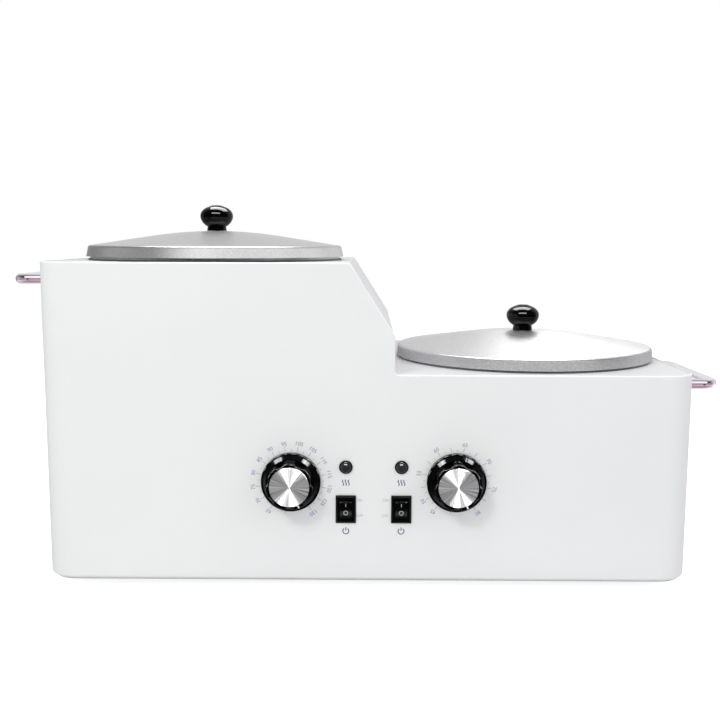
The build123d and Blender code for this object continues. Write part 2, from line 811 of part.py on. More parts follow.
def dial_flutes():
    """The finger hollows round the grip, one lobe in line with the pointer."""
    centre_r = GRIP_R - FLUTE_DEPTH + FLUTE_R
    flutes = Part()
    for index in range(FLUTES):
        clockwise = POINTER_ANGLE + (index + 0.5) * 360 / FLUTES
        turn = radians(90 - clockwise)
        spot = (centre_r * cos(turn), centre_r * sin(turn), SKIRT_H + SKIRT_SHOULDER)
        flutes += disc(FLUTE_R, DIAL_H, spot)
    return flutes


def shaft_profile(grow):
    """A round shaft's section with its flat, made larger by grow for the bore."""
    section = Circle(SHAFT_R + grow)
    cut_x = SHAFT_R - SHAFT_FLAT + grow
    flat = Rectangle(SHAFT_R * 2, SHAFT_R * 4, align=(Align.MIN, Align.CENTER))
    return section - Pos(cut_x, 0, 0) * flat


def dial_knob(side):
    """The moulded dial: a skirt, a fluted grip, a recess for the cap and a hollow back."""
    grip_h = DIAL_H - SKIRT_H - SKIRT_SHOULDER
    skirt = Cylinder(DIAL_R, SKIRT_H, align=REACH_OUT)
    skirt = fillet(skirt.edges().group_by(Axis.Z)[-1], SKIRT_ROUND)
    shoulder = Pos(0, 0, SKIRT_H) * Cone(
        DIAL_R - SHOULDER_IN, GRIP_R + SHOULDER_OUT, SKIRT_SHOULDER, align=REACH_OUT
    )
    grip = Cone(GRIP_R, GRIP_R - GRIP_TAPER, grip_h, align=REACH_OUT)
    knob = skirt + shoulder + Pos(0, 0, SKIRT_H + SKIRT_SHOULDER) * grip
    knob -= dial_flutes()
    rim = knob.edges().group_by(Axis.Z)[-1]
    knob = fillet(rim, GRIP_ROUND)
    knob -= disc(CAP_R + CAP_CLEAR, CAP_T, (0, 0, DIAL_H - CAP_SINK))
    knob -= ring(DIAL_HOLLOW_R, DIAL_HUB_R, SKIRT_H - SKIRT_WEB)
    knob -= extrude(shaft_profile(SHAFT_CLEAR), DIAL_HUB_DEPTH)
    return front(side.dial_x, DIAL_Z) * Pos(0, 0, DIAL_GAP) * knob


def dial_cap(side):
    """The metal disc let into the top of the dial."""
    cap = disc(CAP_R, CAP_T, (0, 0, DIAL_GAP + DIAL_H - CAP_SINK))
    cap = fillet(cap.edges().group_by(Axis.Z)[-1], CAP_ROUND)
    return front(side.dial_x, DIAL_Z) * cap


def thermostat_shaft(side):
    """The turning shaft: round in the thermostat, with a flat inside the dial."""
    outside = DIAL_GAP + DIAL_HUB_DEPTH - SHAFT_END_GAP
    inside = WALL + SHAFT_IN_BODY - SHAFT_END_GAP
    shaft = Cylinder(SHAFT_R, inside, align=REACH_IN)
    shaft += Cylinder(SHAFT_R, DIAL_GAP, align=REACH_OUT)
    shaft += Pos(0, 0, DIAL_GAP) * extrude(shaft_profile(0), outside - DIAL_GAP)
    return front(side.dial_x, DIAL_Z) * shaft


def thermostat(side):
    """The thermostat's body on the back of the panel, with its bush in the panel hole."""
    shape = RectangleRounded(STAT_W, STAT_H, STAT_ROUND)
    body = Pos(0, 0, -WALL) * extrude(shape, -STAT_D)
    body += disc(BUSH_R, 2 * WALL, align=REACH_IN)
    body -= disc(SHAFT_R + SHAFT_CLEAR, WALL + SHAFT_IN_BODY, align=REACH_IN)
    for x in (-STAT_SCREW_X, STAT_SCREW_X):
        hole_l = SCREW_TIP + TIP_CLEAR
        body -= disc(M3_R + THREAD_CLEAR, hole_l, (x, 0, -WALL), REACH_IN)
    return front(side.dial_x, DIAL_Z) * body


def thermostat_screws():
    placed = []
    for side in SIDES:
        for x in (-STAT_SCREW_X, STAT_SCREW_X):
            screw = countersunk_screw((x, 0, 0), 0, WALL + SCREW_TIP)
            placed.append(front(side.dial_x, DIAL_Z) * screw)
    return placed


def capillary(side):
    """The sensing tube from the thermostat to its bulb under the well's floor."""
    start_y = FRONT_Y + WALL + STAT_D / 2
    start_z = DIAL_Z - STAT_H / 2
    bulb_z = side.under_z - BULB_R - BULB_CLEAR
    low_z = min(bulb_z - 2 * BULB_R, start_z - CAPILLARY_DROP)
    turn = atan2(-start_y, side.x - side.dial_x)
    far = hypot(start_y, side.x - side.dial_x)

    def along(distance, z):
        return (side.dial_x + distance * cos(turn), start_y + distance * sin(turn), z)

    bulb_at = far - BULB_L / 2
    points = [
        (side.dial_x, start_y, start_z),
        (side.dial_x, start_y, low_z),
        along(bulb_at - CAPILLARY_LEAD - CAPILLARY_RAMP, low_z),
        along(bulb_at - CAPILLARY_LEAD, bulb_z),
        along(bulb_at + CAPILLARY_R, bulb_z),
    ]
    pipe = tube(points, CAPILLARY_R)
    heading = Plane(along(bulb_at, bulb_z), z_dir=(cos(turn), sin(turn), 0))
    return pipe + heading * Cylinder(BULB_R, BULB_L, align=REACH_OUT)


# Rocker switches

def switch_housing(side):
    """The switch's frame: a bevelled bezel on the panel and a body behind it."""
    bezel = block(BEZEL_W, BEZEL_H, BEZEL_T)
    bezel = chamfer(bezel.edges().group_by(Axis.Z)[-1], BEZEL_BEVEL)
    corners = [
        edge
        for edge in bezel.edges()
        if abs(edge.center().X) > BEZEL_W / 2 - BEZEL_BEVEL
        and abs(edge.center().Y) > BEZEL_H / 2 - BEZEL_BEVEL
    ]
    bezel = fillet(corners, BEZEL_ROUND)
    body_w = CUTOUT_W - 2 * SWITCH_FIT
    body_h = CUTOUT_H - 2 * SWITCH_FIT
    body = block(body_w, body_h, SWITCH_DEPTH, align=REACH_IN)
    housing = bezel + body
    well = block(OPENING_W, OPENING_H, BEZEL_T + OPENING_DEPTH, (0, 0, -OPENING_DEPTH))
    housing -= well
    pin_l = OPENING_W + 2 * PIVOT_PIN_L
    pins = Rot(0, 90, 0) * Cylinder(PIVOT_R + SHAFT_CLEAR, pin_l)
    housing -= Pos(0, 0, BEZEL_T - PIVOT_IN) * pins
    for z in switch_tab_heights():
        slot_w = TAB_W + 2 * THREAD_CLEAR
        slot_t = TAB_T + 2 * THREAD_CLEAR
        housing -= block(slot_w, slot_t, TAB_SEAT, (0, z, -SWITCH_DEPTH))
    return front(side.control_x, SWITCH_Z) * housing


def switch_tab_heights():
    return (-TAB_APART / 2, TAB_APART / 2)


def switch_tabs():
    """The push-on tabs at the back of both switches."""
    placed = []
    for side in SIDES:
        for z in switch_tab_heights():
            spot = (0, z, -SWITCH_DEPTH + TAB_SEAT)
            tab = block(TAB_W, TAB_T, TAB_SEAT + TAB_L, spot, REACH_IN)
            placed.append(front(side.control_x, SWITCH_Z) * tab)
    return placed


def rocker(side):
    """The paddle: a dished face on a round-ended body, tilted to its off position."""
    reach = OPENING_H / 2 - PADDLE_CLEAR
    half_w = OPENING_W / 2 - PADDLE_CLEAR
    rise = reach * tan(radians(PADDLE_DISH))
    left_tip = (-reach, PADDLE_FACE + rise)
    right_tip = (reach, PADDLE_FACE + rise)
    outline = Polyline(left_tip, (-reach, -PADDLE_BACK), (reach, -PADDLE_BACK), right_tip)
    outline += ThreePointArc(left_tip, (0, PADDLE_FACE), right_tip)
    section = make_face(outline) & Circle(reach)
    across = Plane((0, 0, 0), x_dir=(0, 1, 0), z_dir=(1, 0, 0))
    paddle = extrude(across * section, half_w, both=True)
    above = PADDLE_FACE + rise / 2
    tips = [edge for edge in paddle.edges().filter_by(Axis.X) if edge.center().Z > above]
    paddle = fillet(tips, PADDLE_TIP_ROUND)
    pin_l = OPENING_W + 2 * PIVOT_PIN_L - 4 * PADDLE_CLEAR
    paddle += Rot(0, 90, 0) * Cylinder(PIVOT_R, pin_l)
    pivot = Pos(0, 0, BEZEL_T - PIVOT_IN)
    return front(side.control_x, SWITCH_Z) * pivot * Rot(PADDLE_TILT, 0, 0) * paddle


# Lamps

def lamp_body(side):
    """The lamp's flanged tube, with two tabs at its back."""
    body = Cylinder(LAMP_RIM_R, LAMP_RIM_T, align=REACH_OUT)
    body = fillet(body.edges().group_by(Axis.Z)[-1], LAMP_RIM_ROUND)
    body += disc(LAMP_BODY_R, LAMP_BODY_L, align=REACH_IN)
    body -= disc(LAMP_LENS_R + THREAD_CLEAR, LAMP_RIM_T)
    bore_l = LAMP_STEM_L + LAMP_STEM_SPARE
    body -= disc(LAMP_STEM_R + THREAD_CLEAR, bore_l, align=REACH_IN)
    for x in (-LAMP_TAB_APART, LAMP_TAB_APART):
        body += block(TAB_T, LAMP_TAB_W, TAB_L, (x, 0, -LAMP_BODY_L), REACH_IN)
    return front(side.control_x, LAMP_Z) * body


def lamp_lens(side):
    """The domed smoked lens on its stem."""
    dome_r = (LAMP_LENS_R**2 + LAMP_LENS_H**2) / (2 * LAMP_LENS_H)
    ball = Pos(0, 0, LAMP_RIM_T + LAMP_LENS_H - dome_r) * Sphere(dome_r)
    dome = ball & disc(LAMP_LENS_R, LAMP_RIM_T + LAMP_LENS_H, (0, 0, LAMP_RIM_T))
    lens = dome + disc(LAMP_LENS_R, LAMP_RIM_T)
    lens += disc(LAMP_STEM_R, LAMP_STEM_L, align=REACH_IN)
    return front(side.control_x, LAMP_Z) * lens


def lamp_nuts():
    nut = hexagon(LAMP_NUT_AF, LAMP_NUT_H, LAMP_BODY_R + THREAD_CLEAR)
    inner_face = Pos(0, 0, -WALL - LAMP_NUT_H)
    return [front(side.control_x, LAMP_Z) * inner_face * nut for side in SIDES]


# Mains inlet

def inlet_pins_at():
    """Each pin's middle on the back wall, across and up: live, neutral and earth."""
    return [
        (-PIN_SPREAD, -PIN_DROP),
        (PIN_SPREAD, -PIN_DROP),
        (0, EARTH_PIN_UP),
    ]


def mains_inlet():
    """The flanged inlet with its socket, open to the back."""
    outline = RectangleRounded(INLET_FLANGE_W, INLET_FLANGE_H, INLET_CORNER_R)
    flange = extrude(outline, INLET_FLANGE_T)
    flange = fillet(flange.edges().group_by(Axis.Z)[-1], INLET_ROUND)
    inlet = flange + block(INLET_BODY_W, INLET_BODY_H, INLET_BODY_D, align=REACH_IN)
    socket = Rectangle(SOCKET_W, SOCKET_H)
    socket = chamfer(socket.vertices().group_by(Axis.Y)[-1], SOCKET_CORNER)
    socket_floor = INLET_FLANGE_T - SOCKET_D
    inlet -= Pos(0, 0, socket_floor) * extrude(socket, SOCKET_D)
    for x in (-INLET_SCREW_X, INLET_SCREW_X):
        inlet -= disc(M3_R + HOLE_CLEAR, 4 * INLET_FLANGE_T, (x, 0, -INLET_FLANGE_T))
    for x, z in inlet_pins_at():
        slot_t = PIN_T + 2 * THREAD_CLEAR
        slot_w = PIN_W + 2 * THREAD_CLEAR
        inlet -= block(slot_t, slot_w, 2 * INLET_BODY_D, (x, z, -2 * INLET_BODY_D))
    return back(INLET_X, INLET_Z) * inlet


def inlet_pins():
    placed = []
    length = INLET_BODY_D + PIN_TAIL + INLET_FLANGE_T - PIN_RECESS
    for x, z in inlet_pins_at():
        pin = block(PIN_T, PIN_W, length, (x, z, -INLET_BODY_D - PIN_TAIL))
        placed.append(back(INLET_X, INLET_Z) * pin)
    return placed


def inlet_screws():
    length = INLET_FLANGE_T + WALL + M3_NUT_H + SCREW_PROUD
    screw = pan_screw(M3_R, M3_HEAD_R, M3_HEAD_H, length)
    placed = []
    for x in (-INLET_SCREW_X, INLET_SCREW_X):
        sunk = Pos(x, 0, INLET_FLANGE_T) * Rot(180, 0, 0)
        placed.append(back(INLET_X, INLET_Z) * sunk * screw)
    return placed


def inlet_nuts():
    nut = hexagon(M3_NUT_AF, M3_NUT_H, M3_R + THREAD_CLEAR)
    inner_face = -WALL - M3_NUT_H
    spots = (-INLET_SCREW_X, INLET_SCREW_X)
    return [back(INLET_X, INLET_Z) * Pos(x, 0, inner_face) * nut for x in spots]


# Inside the cabinet

def block_slots():
    """The terminal positions along the block, measured from its middle."""
    return [(index - (BLOCK_WAYS - 1) / 2) * BLOCK_PITCH for index in range(BLOCK_WAYS)]


def terminal_block():
    body = block(BLOCK_W, BLOCK_D, BLOCK_H)
    body = chamfer(body.edges().filter_by(Axis.X).group_by(Axis.Z)[-1], BLOCK_CORNER)
    for x in (-BLOCK_SCREW_X, BLOCK_SCREW_X):
        body -= disc(M3_R + HOLE_CLEAR, BLOCK_H, (x, 0, 0))
        body -= disc(M3_HEAD_R + BLOCK_HEAD_CLEAR, BLOCK_H, (x, 0, BLOCK_RECESS))
    for x in block_slots():
        body -= disc(BLOCK_SLOT_R, BLOCK_SLOT_DEPTH, (x, 0, BLOCK_H - BLOCK_SLOT_DEPTH))
    return Pos(CONTROLS_X, BLOCK_Y, CASE_BOTTOM) * body


def block_screws():
    length = BLOCK_RECESS + BASE_T + M3_NUT_H + SCREW_PROUD
    screw = Rot(180, 0, 0) * pan_screw(M3_R, M3_HEAD_R, M3_HEAD_H, length)
    top = CASE_BOTTOM + BLOCK_RECESS
    spots = (CONTROLS_X - BLOCK_SCREW_X, CONTROLS_X + BLOCK_SCREW_X)
    return [Pos(x, BLOCK_Y, top) * screw for x in spots]


def block_nuts():
    nut = hexagon(M3_NUT_AF, M3_NUT_H, M3_R + THREAD_CLEAR)
    spots = (CONTROLS_X - BLOCK_SCREW_X, CONTROLS_X + BLOCK_SCREW_X)
    return [Pos(x, BLOCK_Y, FOOT_H - M3_NUT_H) * nut for x in spots]


def earth_stud():
    """The earth screw through the base plate, with the nut that clamps the earth lead."""
    length = BASE_T + M4_NUT_H + 2 * WIRE_R + SCREW_PROUD
    screw = Pos(EARTH_X, EARTH_Y, FOOT_H) * pan_screw(M4_R, M4_HEAD_R, M4_HEAD_H, length)
    nut = hexagon(M4_NUT_AF, M4_NUT_H, M4_R + THREAD_CLEAR)
    return [screw, Pos(EARTH_X, EARTH_Y, CASE_BOTTOM) * nut]


def inlet_wires():
    """Live and neutral to the terminal block, and the earth lead to its stud."""
    tail_y = BACK_Y - INLET_BODY_D - PIN_TAIL
    block_back = BLOCK_Y + BLOCK_D / 2
    turn_y = (tail_y + block_back) / 2
    wires = []
    for x, z in inlet_pins_at()[:2]:
        px = INLET_X - x
        pz = INLET_Z + z
        route = [(px, tail_y, pz), (px, turn_y, pz), (px, turn_y, WIRE_Z), (px, block_back, WIRE_Z)]
        wires.append(tube(route, WIRE_R))
    eye_z = CASE_BOTTOM + M4_NUT_H
    eye = ring(M4_HEAD_R, M4_R + HOLE_CLEAR, 2 * WIRE_R, (EARTH_X, EARTH_Y, eye_z))
    lead_z = eye_z + WIRE_R
    up_z = INLET_Z + EARTH_PIN_UP
    out_y = EARTH_Y - EARTH_LEAD
    route = [
        (INLET_X, tail_y, up_z),
        (INLET_X, out_y, up_z),
        (EARTH_X, out_y, up_z),
        (EARTH_X, out_y - EARTH_DROP, lead_z),
        (EARTH_X, EARTH_Y - M4_HEAD_R + EYE_LAP, lead_z),
    ]
    wires.append(tube(route, WIRE_R) + eye)
    return wires


def side_wires(side):
    """The leads of one side: block to switch, on to the thermostat, heater and back."""
    s = side.sign
    switch_back = FRONT_Y + SWITCH_DEPTH + TAB_L
    low_tab = SWITCH_Z + switch_tab_heights()[0]
    high_tab = SWITCH_Z + switch_tab_heights()[1]
    x = side.control_x
    block_front = BLOCK_Y - BLOCK_D / 2
    slot_x = CONTROLS_X + s * block_slots()[-1]
    live = [
        (slot_x, block_front, WIRE_Z),
        (slot_x, block_front - BLOCK_LEAD, WIRE_Z),
        (x, switch_back + SWITCH_LEAD, WIRE_Z),
        (x, switch_back + SWITCH_LEAD, high_tab),
        (x, switch_back, high_tab),
    ]
    stat_side = side.dial_x - s * STAT_W / 2
    stat_mid = FRONT_Y + WALL + STAT_D / 2
    gap_x = (x + s * BEZEL_W / 2 + stat_side) / 2
    switched = [
        (x, switch_back, low_tab),
        (x, switch_back + LINK_LEAD, low_tab),
        (gap_x, switch_back + LINK_LEAD, low_tab + LINK_RISE),
        (gap_x, stat_mid, DIAL_Z - STAT_LEAD_Z),
        (stat_side, stat_mid, DIAL_Z - STAT_LEAD_Z),
    ]
    near_angle, far_angle = sorted(post_angles(side), key=lambda angle: sin(radians(angle)))
    heat = [
        (stat_side, stat_mid + STAT_LEAD_Y, DIAL_Z + STAT_LEAD_Z),
        (gap_x, stat_mid + STAT_LEAD_Y, DIAL_Z + STAT_LEAD_Z),
        (gap_x, stat_mid + HEAT_RUN, post_tip(side, near_angle)[2]),
        post_tip(side, near_angle, POST_LEAD),
        post_tip(side, near_angle),
    ]
    neutral_x = CONTROLS_X + s * block_slots()[-2]
    far_lead = post_tip(side, far_angle, POST_LEAD)
    neutral = [
        (neutral_x, block_front, WIRE_Z),
        (neutral_x, block_front - BLOCK_LEAD, WIRE_Z),
        (neutral_x, far_lead[1] + NEUTRAL_TURN, far_lead[2]),
        far_lead,
        post_tip(side, far_angle),
    ]
    return [tube(route, WIRE_R) for route in (live, switched, heat, neutral)]


def wiring_harness():
    return inlet_wires() + side_wires(LEFT) + side_wires(RIGHT)


def solids_of(made):
    """One shape, or a list of them, as a list of single solids."""
    pieces = made if isinstance(made, list) else [made]
    return [solid for piece in pieces for solid in piece.solids()]


def save(node, made):
    """Writes one node, moved so that the origin is the middle of the footprint."""
    moved = [Pos(0, SHIFT_Y, 0) * solid for solid in solids_of(made)]
    shape = moved[0] if len(moved) == 1 else Compound(children=moved)
    export_step(shape, f"parts/{node}.step")


SINGLE_NODES = {
    "body_shell": body_shell,
    "deck_plate": deck_plate,
    "base_plate": base_plate,
    "base_screws": base_screws,
    "rubber_feet": rubber_feet,
    "foot_screws": foot_screws,
    "foot_nuts": foot_nuts,
    "handle_washers": handle_washers,
    "handle_nuts": handle_nuts,
    "thermal_cutouts": thermal_cutouts,
    "thermostat_screws": thermostat_screws,
    "switch_tabs": switch_tabs,
    "lamp_nuts": lamp_nuts,
    "mains_inlet": mains_inlet,
    "inlet_pins": inlet_pins,
    "inlet_screws": inlet_screws,
    "inlet_nuts": inlet_nuts,
    "terminal_block": terminal_block,
    "block_screws": block_screws,
    "block_nuts": block_nuts,
    "earth_stud": earth_stud,
    "wiring_harness": wiring_harness,
}

SIDE_NODES = {
    "handle": handle,
    "heating_well": heating_well,
    "heater_band": heater_band,
    "insulation_jacket": insulation_jacket,
    "thermostat": thermostat,
    "capillary": capillary,
    "switch_housing": switch_housing,
    "lamp_body": lamp_body,
    "lamp_lens": lamp_lens,
    "pot": pot,
    "lid_cover": lid_cover,
    "lid_knob": lid_knob,
    "lid_washer": lid_washer,
    "lid_screw": lid_screw,
    "dial_knob": dial_knob,
    "dial_cap": dial_cap,
    "thermostat_shaft": thermostat_shaft,
    "rocker": rocker,
}

os.makedirs("parts", exist_ok=True)
for node, make in SINGLE_NODES.items():
    save(node, make())
for side in SIDES:
    for node, make in SIDE_NODES.items():
        save(f"{side.name}_{node}", make(side))
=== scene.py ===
from math import cos, pi, radians, sin

import bpy
from mathutils import Matrix, Vector
from mathutils.bvhtree import BVHTree


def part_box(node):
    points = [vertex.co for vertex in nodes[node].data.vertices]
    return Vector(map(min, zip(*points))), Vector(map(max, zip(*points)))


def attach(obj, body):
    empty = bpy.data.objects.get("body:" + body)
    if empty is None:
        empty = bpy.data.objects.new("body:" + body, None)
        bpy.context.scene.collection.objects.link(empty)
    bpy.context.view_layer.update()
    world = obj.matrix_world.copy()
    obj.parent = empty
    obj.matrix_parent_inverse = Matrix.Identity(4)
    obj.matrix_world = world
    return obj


# The double wax warmer's finishes, printed scales and marks, built round its solids.
# Sizes in the values below are millimetres and degrees; the scene itself is in metres.
MM = 0.001

# Camera, from a fit to the photograph: across, out from the front panel, and up
CAMERA_AT = (-1.29, 662.63, 260.12)
CAMERA_PITCH = 7.414
CAMERA_YAW = -0.372
CAMERA_ROLL = 0.201
CAMERA_LENS = 46.09
CAMERA_SENSOR = 36.0

# Printing on the panel
INK_LIFT = 0.01
INK_T = 0.03
FIRST_MARK = 216.7
MARK_STEP = 22.2
MARK_COUNT = 14
OFF_MARK = 190.0
TICK_FROM = 23.0
TICK_MINOR = 24.3
TICK_MAJOR = 26.4
TICK_W = 0.28
NUMBER_AT = 28.5
NUMBER_H = 2.9
LONG_NUMBER = 100
LONG_NUMBER_OUT = 0.5
LEFT_NUMBERS = {k: 65 + 5 * k for k in range(MARK_COUNT)}
RIGHT_NUMBERS = {0: 45, 1: 50, 3: 55, 5: 60, 7: 65, 9: 70, 11: 75, 13: 80}
HEAT_SIGN_Z = -11.8
HEAT_SIGN_H = 4.5
HEAT_SIGN_PITCH = 2.1
HEAT_SIGN_WAVE = 0.42
HEAT_SIGN_STEPS = 24
POWER_SIGN_Z = -16.7
POWER_SIGN_R = 2.2
POWER_SIGN_GAP = 35
POWER_STROKE_H = 1.15
POWER_STROKE_UP = 0.7
SIGN_STROKE = 0.7
WORD_H = 2.15
WORD_X = {"left": 9.5, "right": 11.4}
WORD_ON_Z = 6.9
WORD_OFF_Z = -5.1
WORD_OFF_OUT = 0.7

# Marks on the moving pieces. The pointer runs over the grip's top, by shares of the way from
# the cap to the edge, and down the grip's side, by depths below its face. The rocker's stroke
# is given by its two ends above the housing's centre, and ends where the paddle's tip rounds.
RAY_START = 5
POINTER_ANGLE = 155.0
POINTER_W = 1.1
POINTER_LIFT = 0.03
POINTER_SHARES = (0.02, 0.3, 0.55, 0.75, 0.9, 0.97)
POINTER_DEPTHS = (0.9, 2.5, 4.5, 6.5, 8.5, 10.1)
GRIP_TOP_R = 17.0
GRIP_FOOT_R = 17.6
CAP_R = 14.5
CAP_MARGIN = 0.15
ROCKER_I = (2.5, 5.25)
ROCKER_I_W = 0.6
ROCKER_I_STEPS = 8
ROCKER_O_Z = -2.4
ROCKER_O_R = 1.5
ROCKER_STROKE = 0.7

# Metals: the grain and the stains in bumps per metre, and how far the grain moves the tone
SPECK_SCALE = 800
STAIN_SCALE = 400
LID_GRAIN = {"left": 0.17, "right": 0.26}
LID_TONE = (0.57, 0.57, 0.575)
POT_TONE = (0.55, 0.55, 0.56)
# The heating well's tone is painted dark, as painted shade for the gap seen under the lids
WELL_PAINTED_SHADE_TONE = (0.20, 0.20, 0.205)

# Studio, in metres: the floor's light for the camera, the fill, and the room that shows in
# gloss, dark in front, white behind and dim at the left, by shares of a direction
FLOOR_R = 2.4
FLOOR_CORNERS = 120
FLOOR_FADE = (0.9, 2.2)
FLOOR_GLOW = 0.8
FILL_COLOUR = (0.99, 0.955, 1.01)
FILL_STRENGTH = 0.73
ROOM_FRONT = 0.04
ROOM_BACK = 0.65
ROOM_SIDE = 0.25
ROOM_TO_BACKDROP = (-0.15, 0.35)
ROOM_TO_SIDE = (-0.3, -0.7)
LAMP_TARGET_Z = 0.15
FLOOR_LAMP_Z = 0.004
KEY_TINT = (0.98, 1.05, 0.95)
UNDER_TINT = (1.0, 0.84, 1.0)
HANDLE_TINT = (1.0, 0.76, 0.87)
HANDLE_FRONT_TINT = (1.0, 0.98, 1.0)
HANDLE_BACK_TINT = (0.95, 1.0, 1.05)
SWITCH_TINT = (0.86, 1.0, 0.8)
DIAL_RING = radians(62)
DIAL_RING_AWAY = 1.3

# Two cards on the floor that show in the rockers, one dim and one bright: how far behind the
# origin each lies, which is negative for in front, how deep it is, and its tone
ROCKER_CARDS = ((-0.262, 0.12, 1.6), (-0.3, 0.05, 3.4))
ROCKER_CARD_X = 0.005
ROCKER_CARD_W = 0.3

SIDES = ("left", "right")

# Cards that show in the lids: name, azimuth, elevation, distance, width and height, tone, lids
LEFT_LID = ["left_lid_cover"]
RIGHT_LID = ["right_lid_cover"]
LIDS = LEFT_LID + RIGHT_LID
LID_CARDS = (
    ("left_lid_front", 16, 18, 1.6, (4.2, 1.2), 1.35, LEFT_LID),
    ("left_lid_spot", -14, 18, 1.5, (0.5, 0.5), 1.1, LEFT_LID),
    ("left_lid_back", 140, 14, 2.0, (1.2, 0.5), 0.5, LEFT_LID),
    ("right_lid_front", 5, 15, 1.5, (3.8, 0.9), 1.15, RIGHT_LID),
    ("left_lid_left", -76, 8, 1.5, (1.4, 0.8), 0.52, LEFT_LID),
    ("right_lid_left", -76, 8, 1.5, (1.2, 0.8), 1.6, RIGHT_LID),
    ("left_lid_right", 84, 10, 1.5, (1.5, 0.8), 1.25, LEFT_LID),
    ("right_lid_right", 84, 10, 1.5, (1.7, 0.8), 0.35, RIGHT_LID),
    ("lid_rim", 0, 86, 1.4, (1.8, 0.9), 6, LIDS),
    ("lid_back", 158, 30, 2.0, (0.7, 0.4), 4.4, RIGHT_LID),
    ("lid_back_wide", 176, 24, 2.0, (1.2, 0.5), 0.15, RIGHT_LID),
)

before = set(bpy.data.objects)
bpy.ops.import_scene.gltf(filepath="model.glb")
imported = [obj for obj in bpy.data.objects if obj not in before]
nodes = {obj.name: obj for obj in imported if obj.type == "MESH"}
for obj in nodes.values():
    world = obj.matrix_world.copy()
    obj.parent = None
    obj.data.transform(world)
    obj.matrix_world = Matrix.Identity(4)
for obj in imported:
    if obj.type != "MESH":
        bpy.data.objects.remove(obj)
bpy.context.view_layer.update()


# Node helpers

def add(tree, kind, inputs=None, **settings):
    """Adds a shader node, with its settings, and its inputs as values or links."""
    node = tree.nodes.new("ShaderNode" + kind)
    for name, value in settings.items():
        setattr(node, name, value)
    for name, value in (inputs or {}).items():
        if isinstance(value, bpy.types.NodeSocket):
            tree.links.new(value, node.inputs[name])
        else:
            node.inputs[name].default_value = value
    return node


def rgba(colour):
    return (*colour, 1.0)


def shade(colour, amount):
    return tuple(channel * amount for channel in colour)


def ranged(tree, value, low, high, low_in=0.3, high_in=0.7):
    """The value, spread from one range over another."""
    inputs = {"Value": value, "From Min": low_in, "From Max": high_in, "To Min": low, "To Max": high}
    return add(tree, "MapRange", inputs).outputs["Result"]


def mixed(tree, share, one, two):
    """One colour running into another by a share from 0 to 1."""
    node = add(tree, "Mix", data_type="RGBA")
    tree.links.new(share, node.inputs[0])
    for socket, colour in ((node.inputs[6], one), (node.inputs[7], two)):
        if isinstance(colour, bpy.types.NodeSocket):
            tree.links.new(colour, socket)
        else:
            socket.default_value = rgba(colour)
    return node.outputs[2]


def math_node(tree, operation, one, two):
    node = add(tree, "Math", operation=operation)
    for socket, value in zip(node.inputs, (one, two)):
        if isinstance(value, bpy.types.NodeSocket):
            tree.links.new(value, socket)
        else:
            socket.default_value = value
    return node.outputs[0]


def bumped(tree, height, depth, strength=1.0, under=None):
    """A bump from a height of 0 to 1, with depth as its full height in millimetres."""
    inputs = {"Height": height, "Distance": depth * MM, "Strength": strength}
    if under is not None:
        inputs["Normal"] = under
    return add(tree, "Bump", inputs).outputs["Normal"]


class Finish:
    """A material being built: its tree, its place input, and its surface shader."""

    def __init__(self, name):
        self.material = bpy.data.materials.new(name)
        self.material.use_nodes = True
        self.tree = self.material.node_tree
        self.tree.nodes.clear()
        self.at = add(self.tree, "TexCoord").outputs["Object"]

    def noise(self, scale, detail=2.0, roughness=0.5):
        """Noise from 0 to 1, with scale as its bumps per metre."""
        inputs = {"Vector": self.at, "Scale": scale, "Detail": detail, "Roughness": roughness}
        return add(self.tree, "TexNoise", inputs).outputs["Fac"]

    def surface(self, **inputs):
        """Ends the material with a principled surface, its inputs named as in the shader."""
        named = {key.replace("_", " "): value for key, value in inputs.items()}
        shader = add(self.tree, "BsdfPrincipled", named)
        add(self.tree, "OutputMaterial", {"Surface": shader.outputs[0]})
        return self.material


# Finishes

def powder_coat(name, colour, roughness):
    """Baked powder coat: faint orange peel, with slow drifts in tone and gloss."""
    finish = Finish(name)
    drift = finish.noise(11, 3)
    tone = mixed(finish.tree, ranged(finish.tree, drift, 0, 1), shade(colour, 0.985), colour)
    gloss = ranged(finish.tree, finish.noise(60, 3), roughness - 0.04, roughness + 0.05)
    peel = bumped(finish.tree, finish.noise(750, 2), 0.008)
    return finish.surface(Base_Color=tone, Roughness=gloss, Normal=peel, Specular_IOR_Level=0.4)


def radius_from(finish, centre, axis):
    """Each point's distance from an upright or a level axis through centre."""
    keep = (1, 1, 0) if axis == "Z" else (1, 0, 1)
    moved = add(finish.tree, "VectorMath", {0: finish.at, 1: tuple(centre)}, operation="SUBTRACT")
    flat = add(finish.tree, "VectorMath", {0: moved.outputs[0], 1: keep}, operation="MULTIPLY")
    return add(finish.tree, "VectorMath", {0: flat.outputs[0]}, operation="LENGTH").outputs["Value"]


def turning_lines(finish, radius, per_metre):
    """Rings round an axis, uneven as a tool leaves them, from 0 to 1."""
    inputs = {"W": math_node(finish.tree, "MULTIPLY", radius, per_metre), "Scale": 1.0, "Detail": 3.0}
    return add(finish.tree, "TexNoise", inputs, noise_dimensions="1D").outputs["Fac"]


def radial_tangent(finish, axis):
    return add(finish.tree, "Tangent", direction_type="RADIAL", axis=axis).outputs["Tangent"]


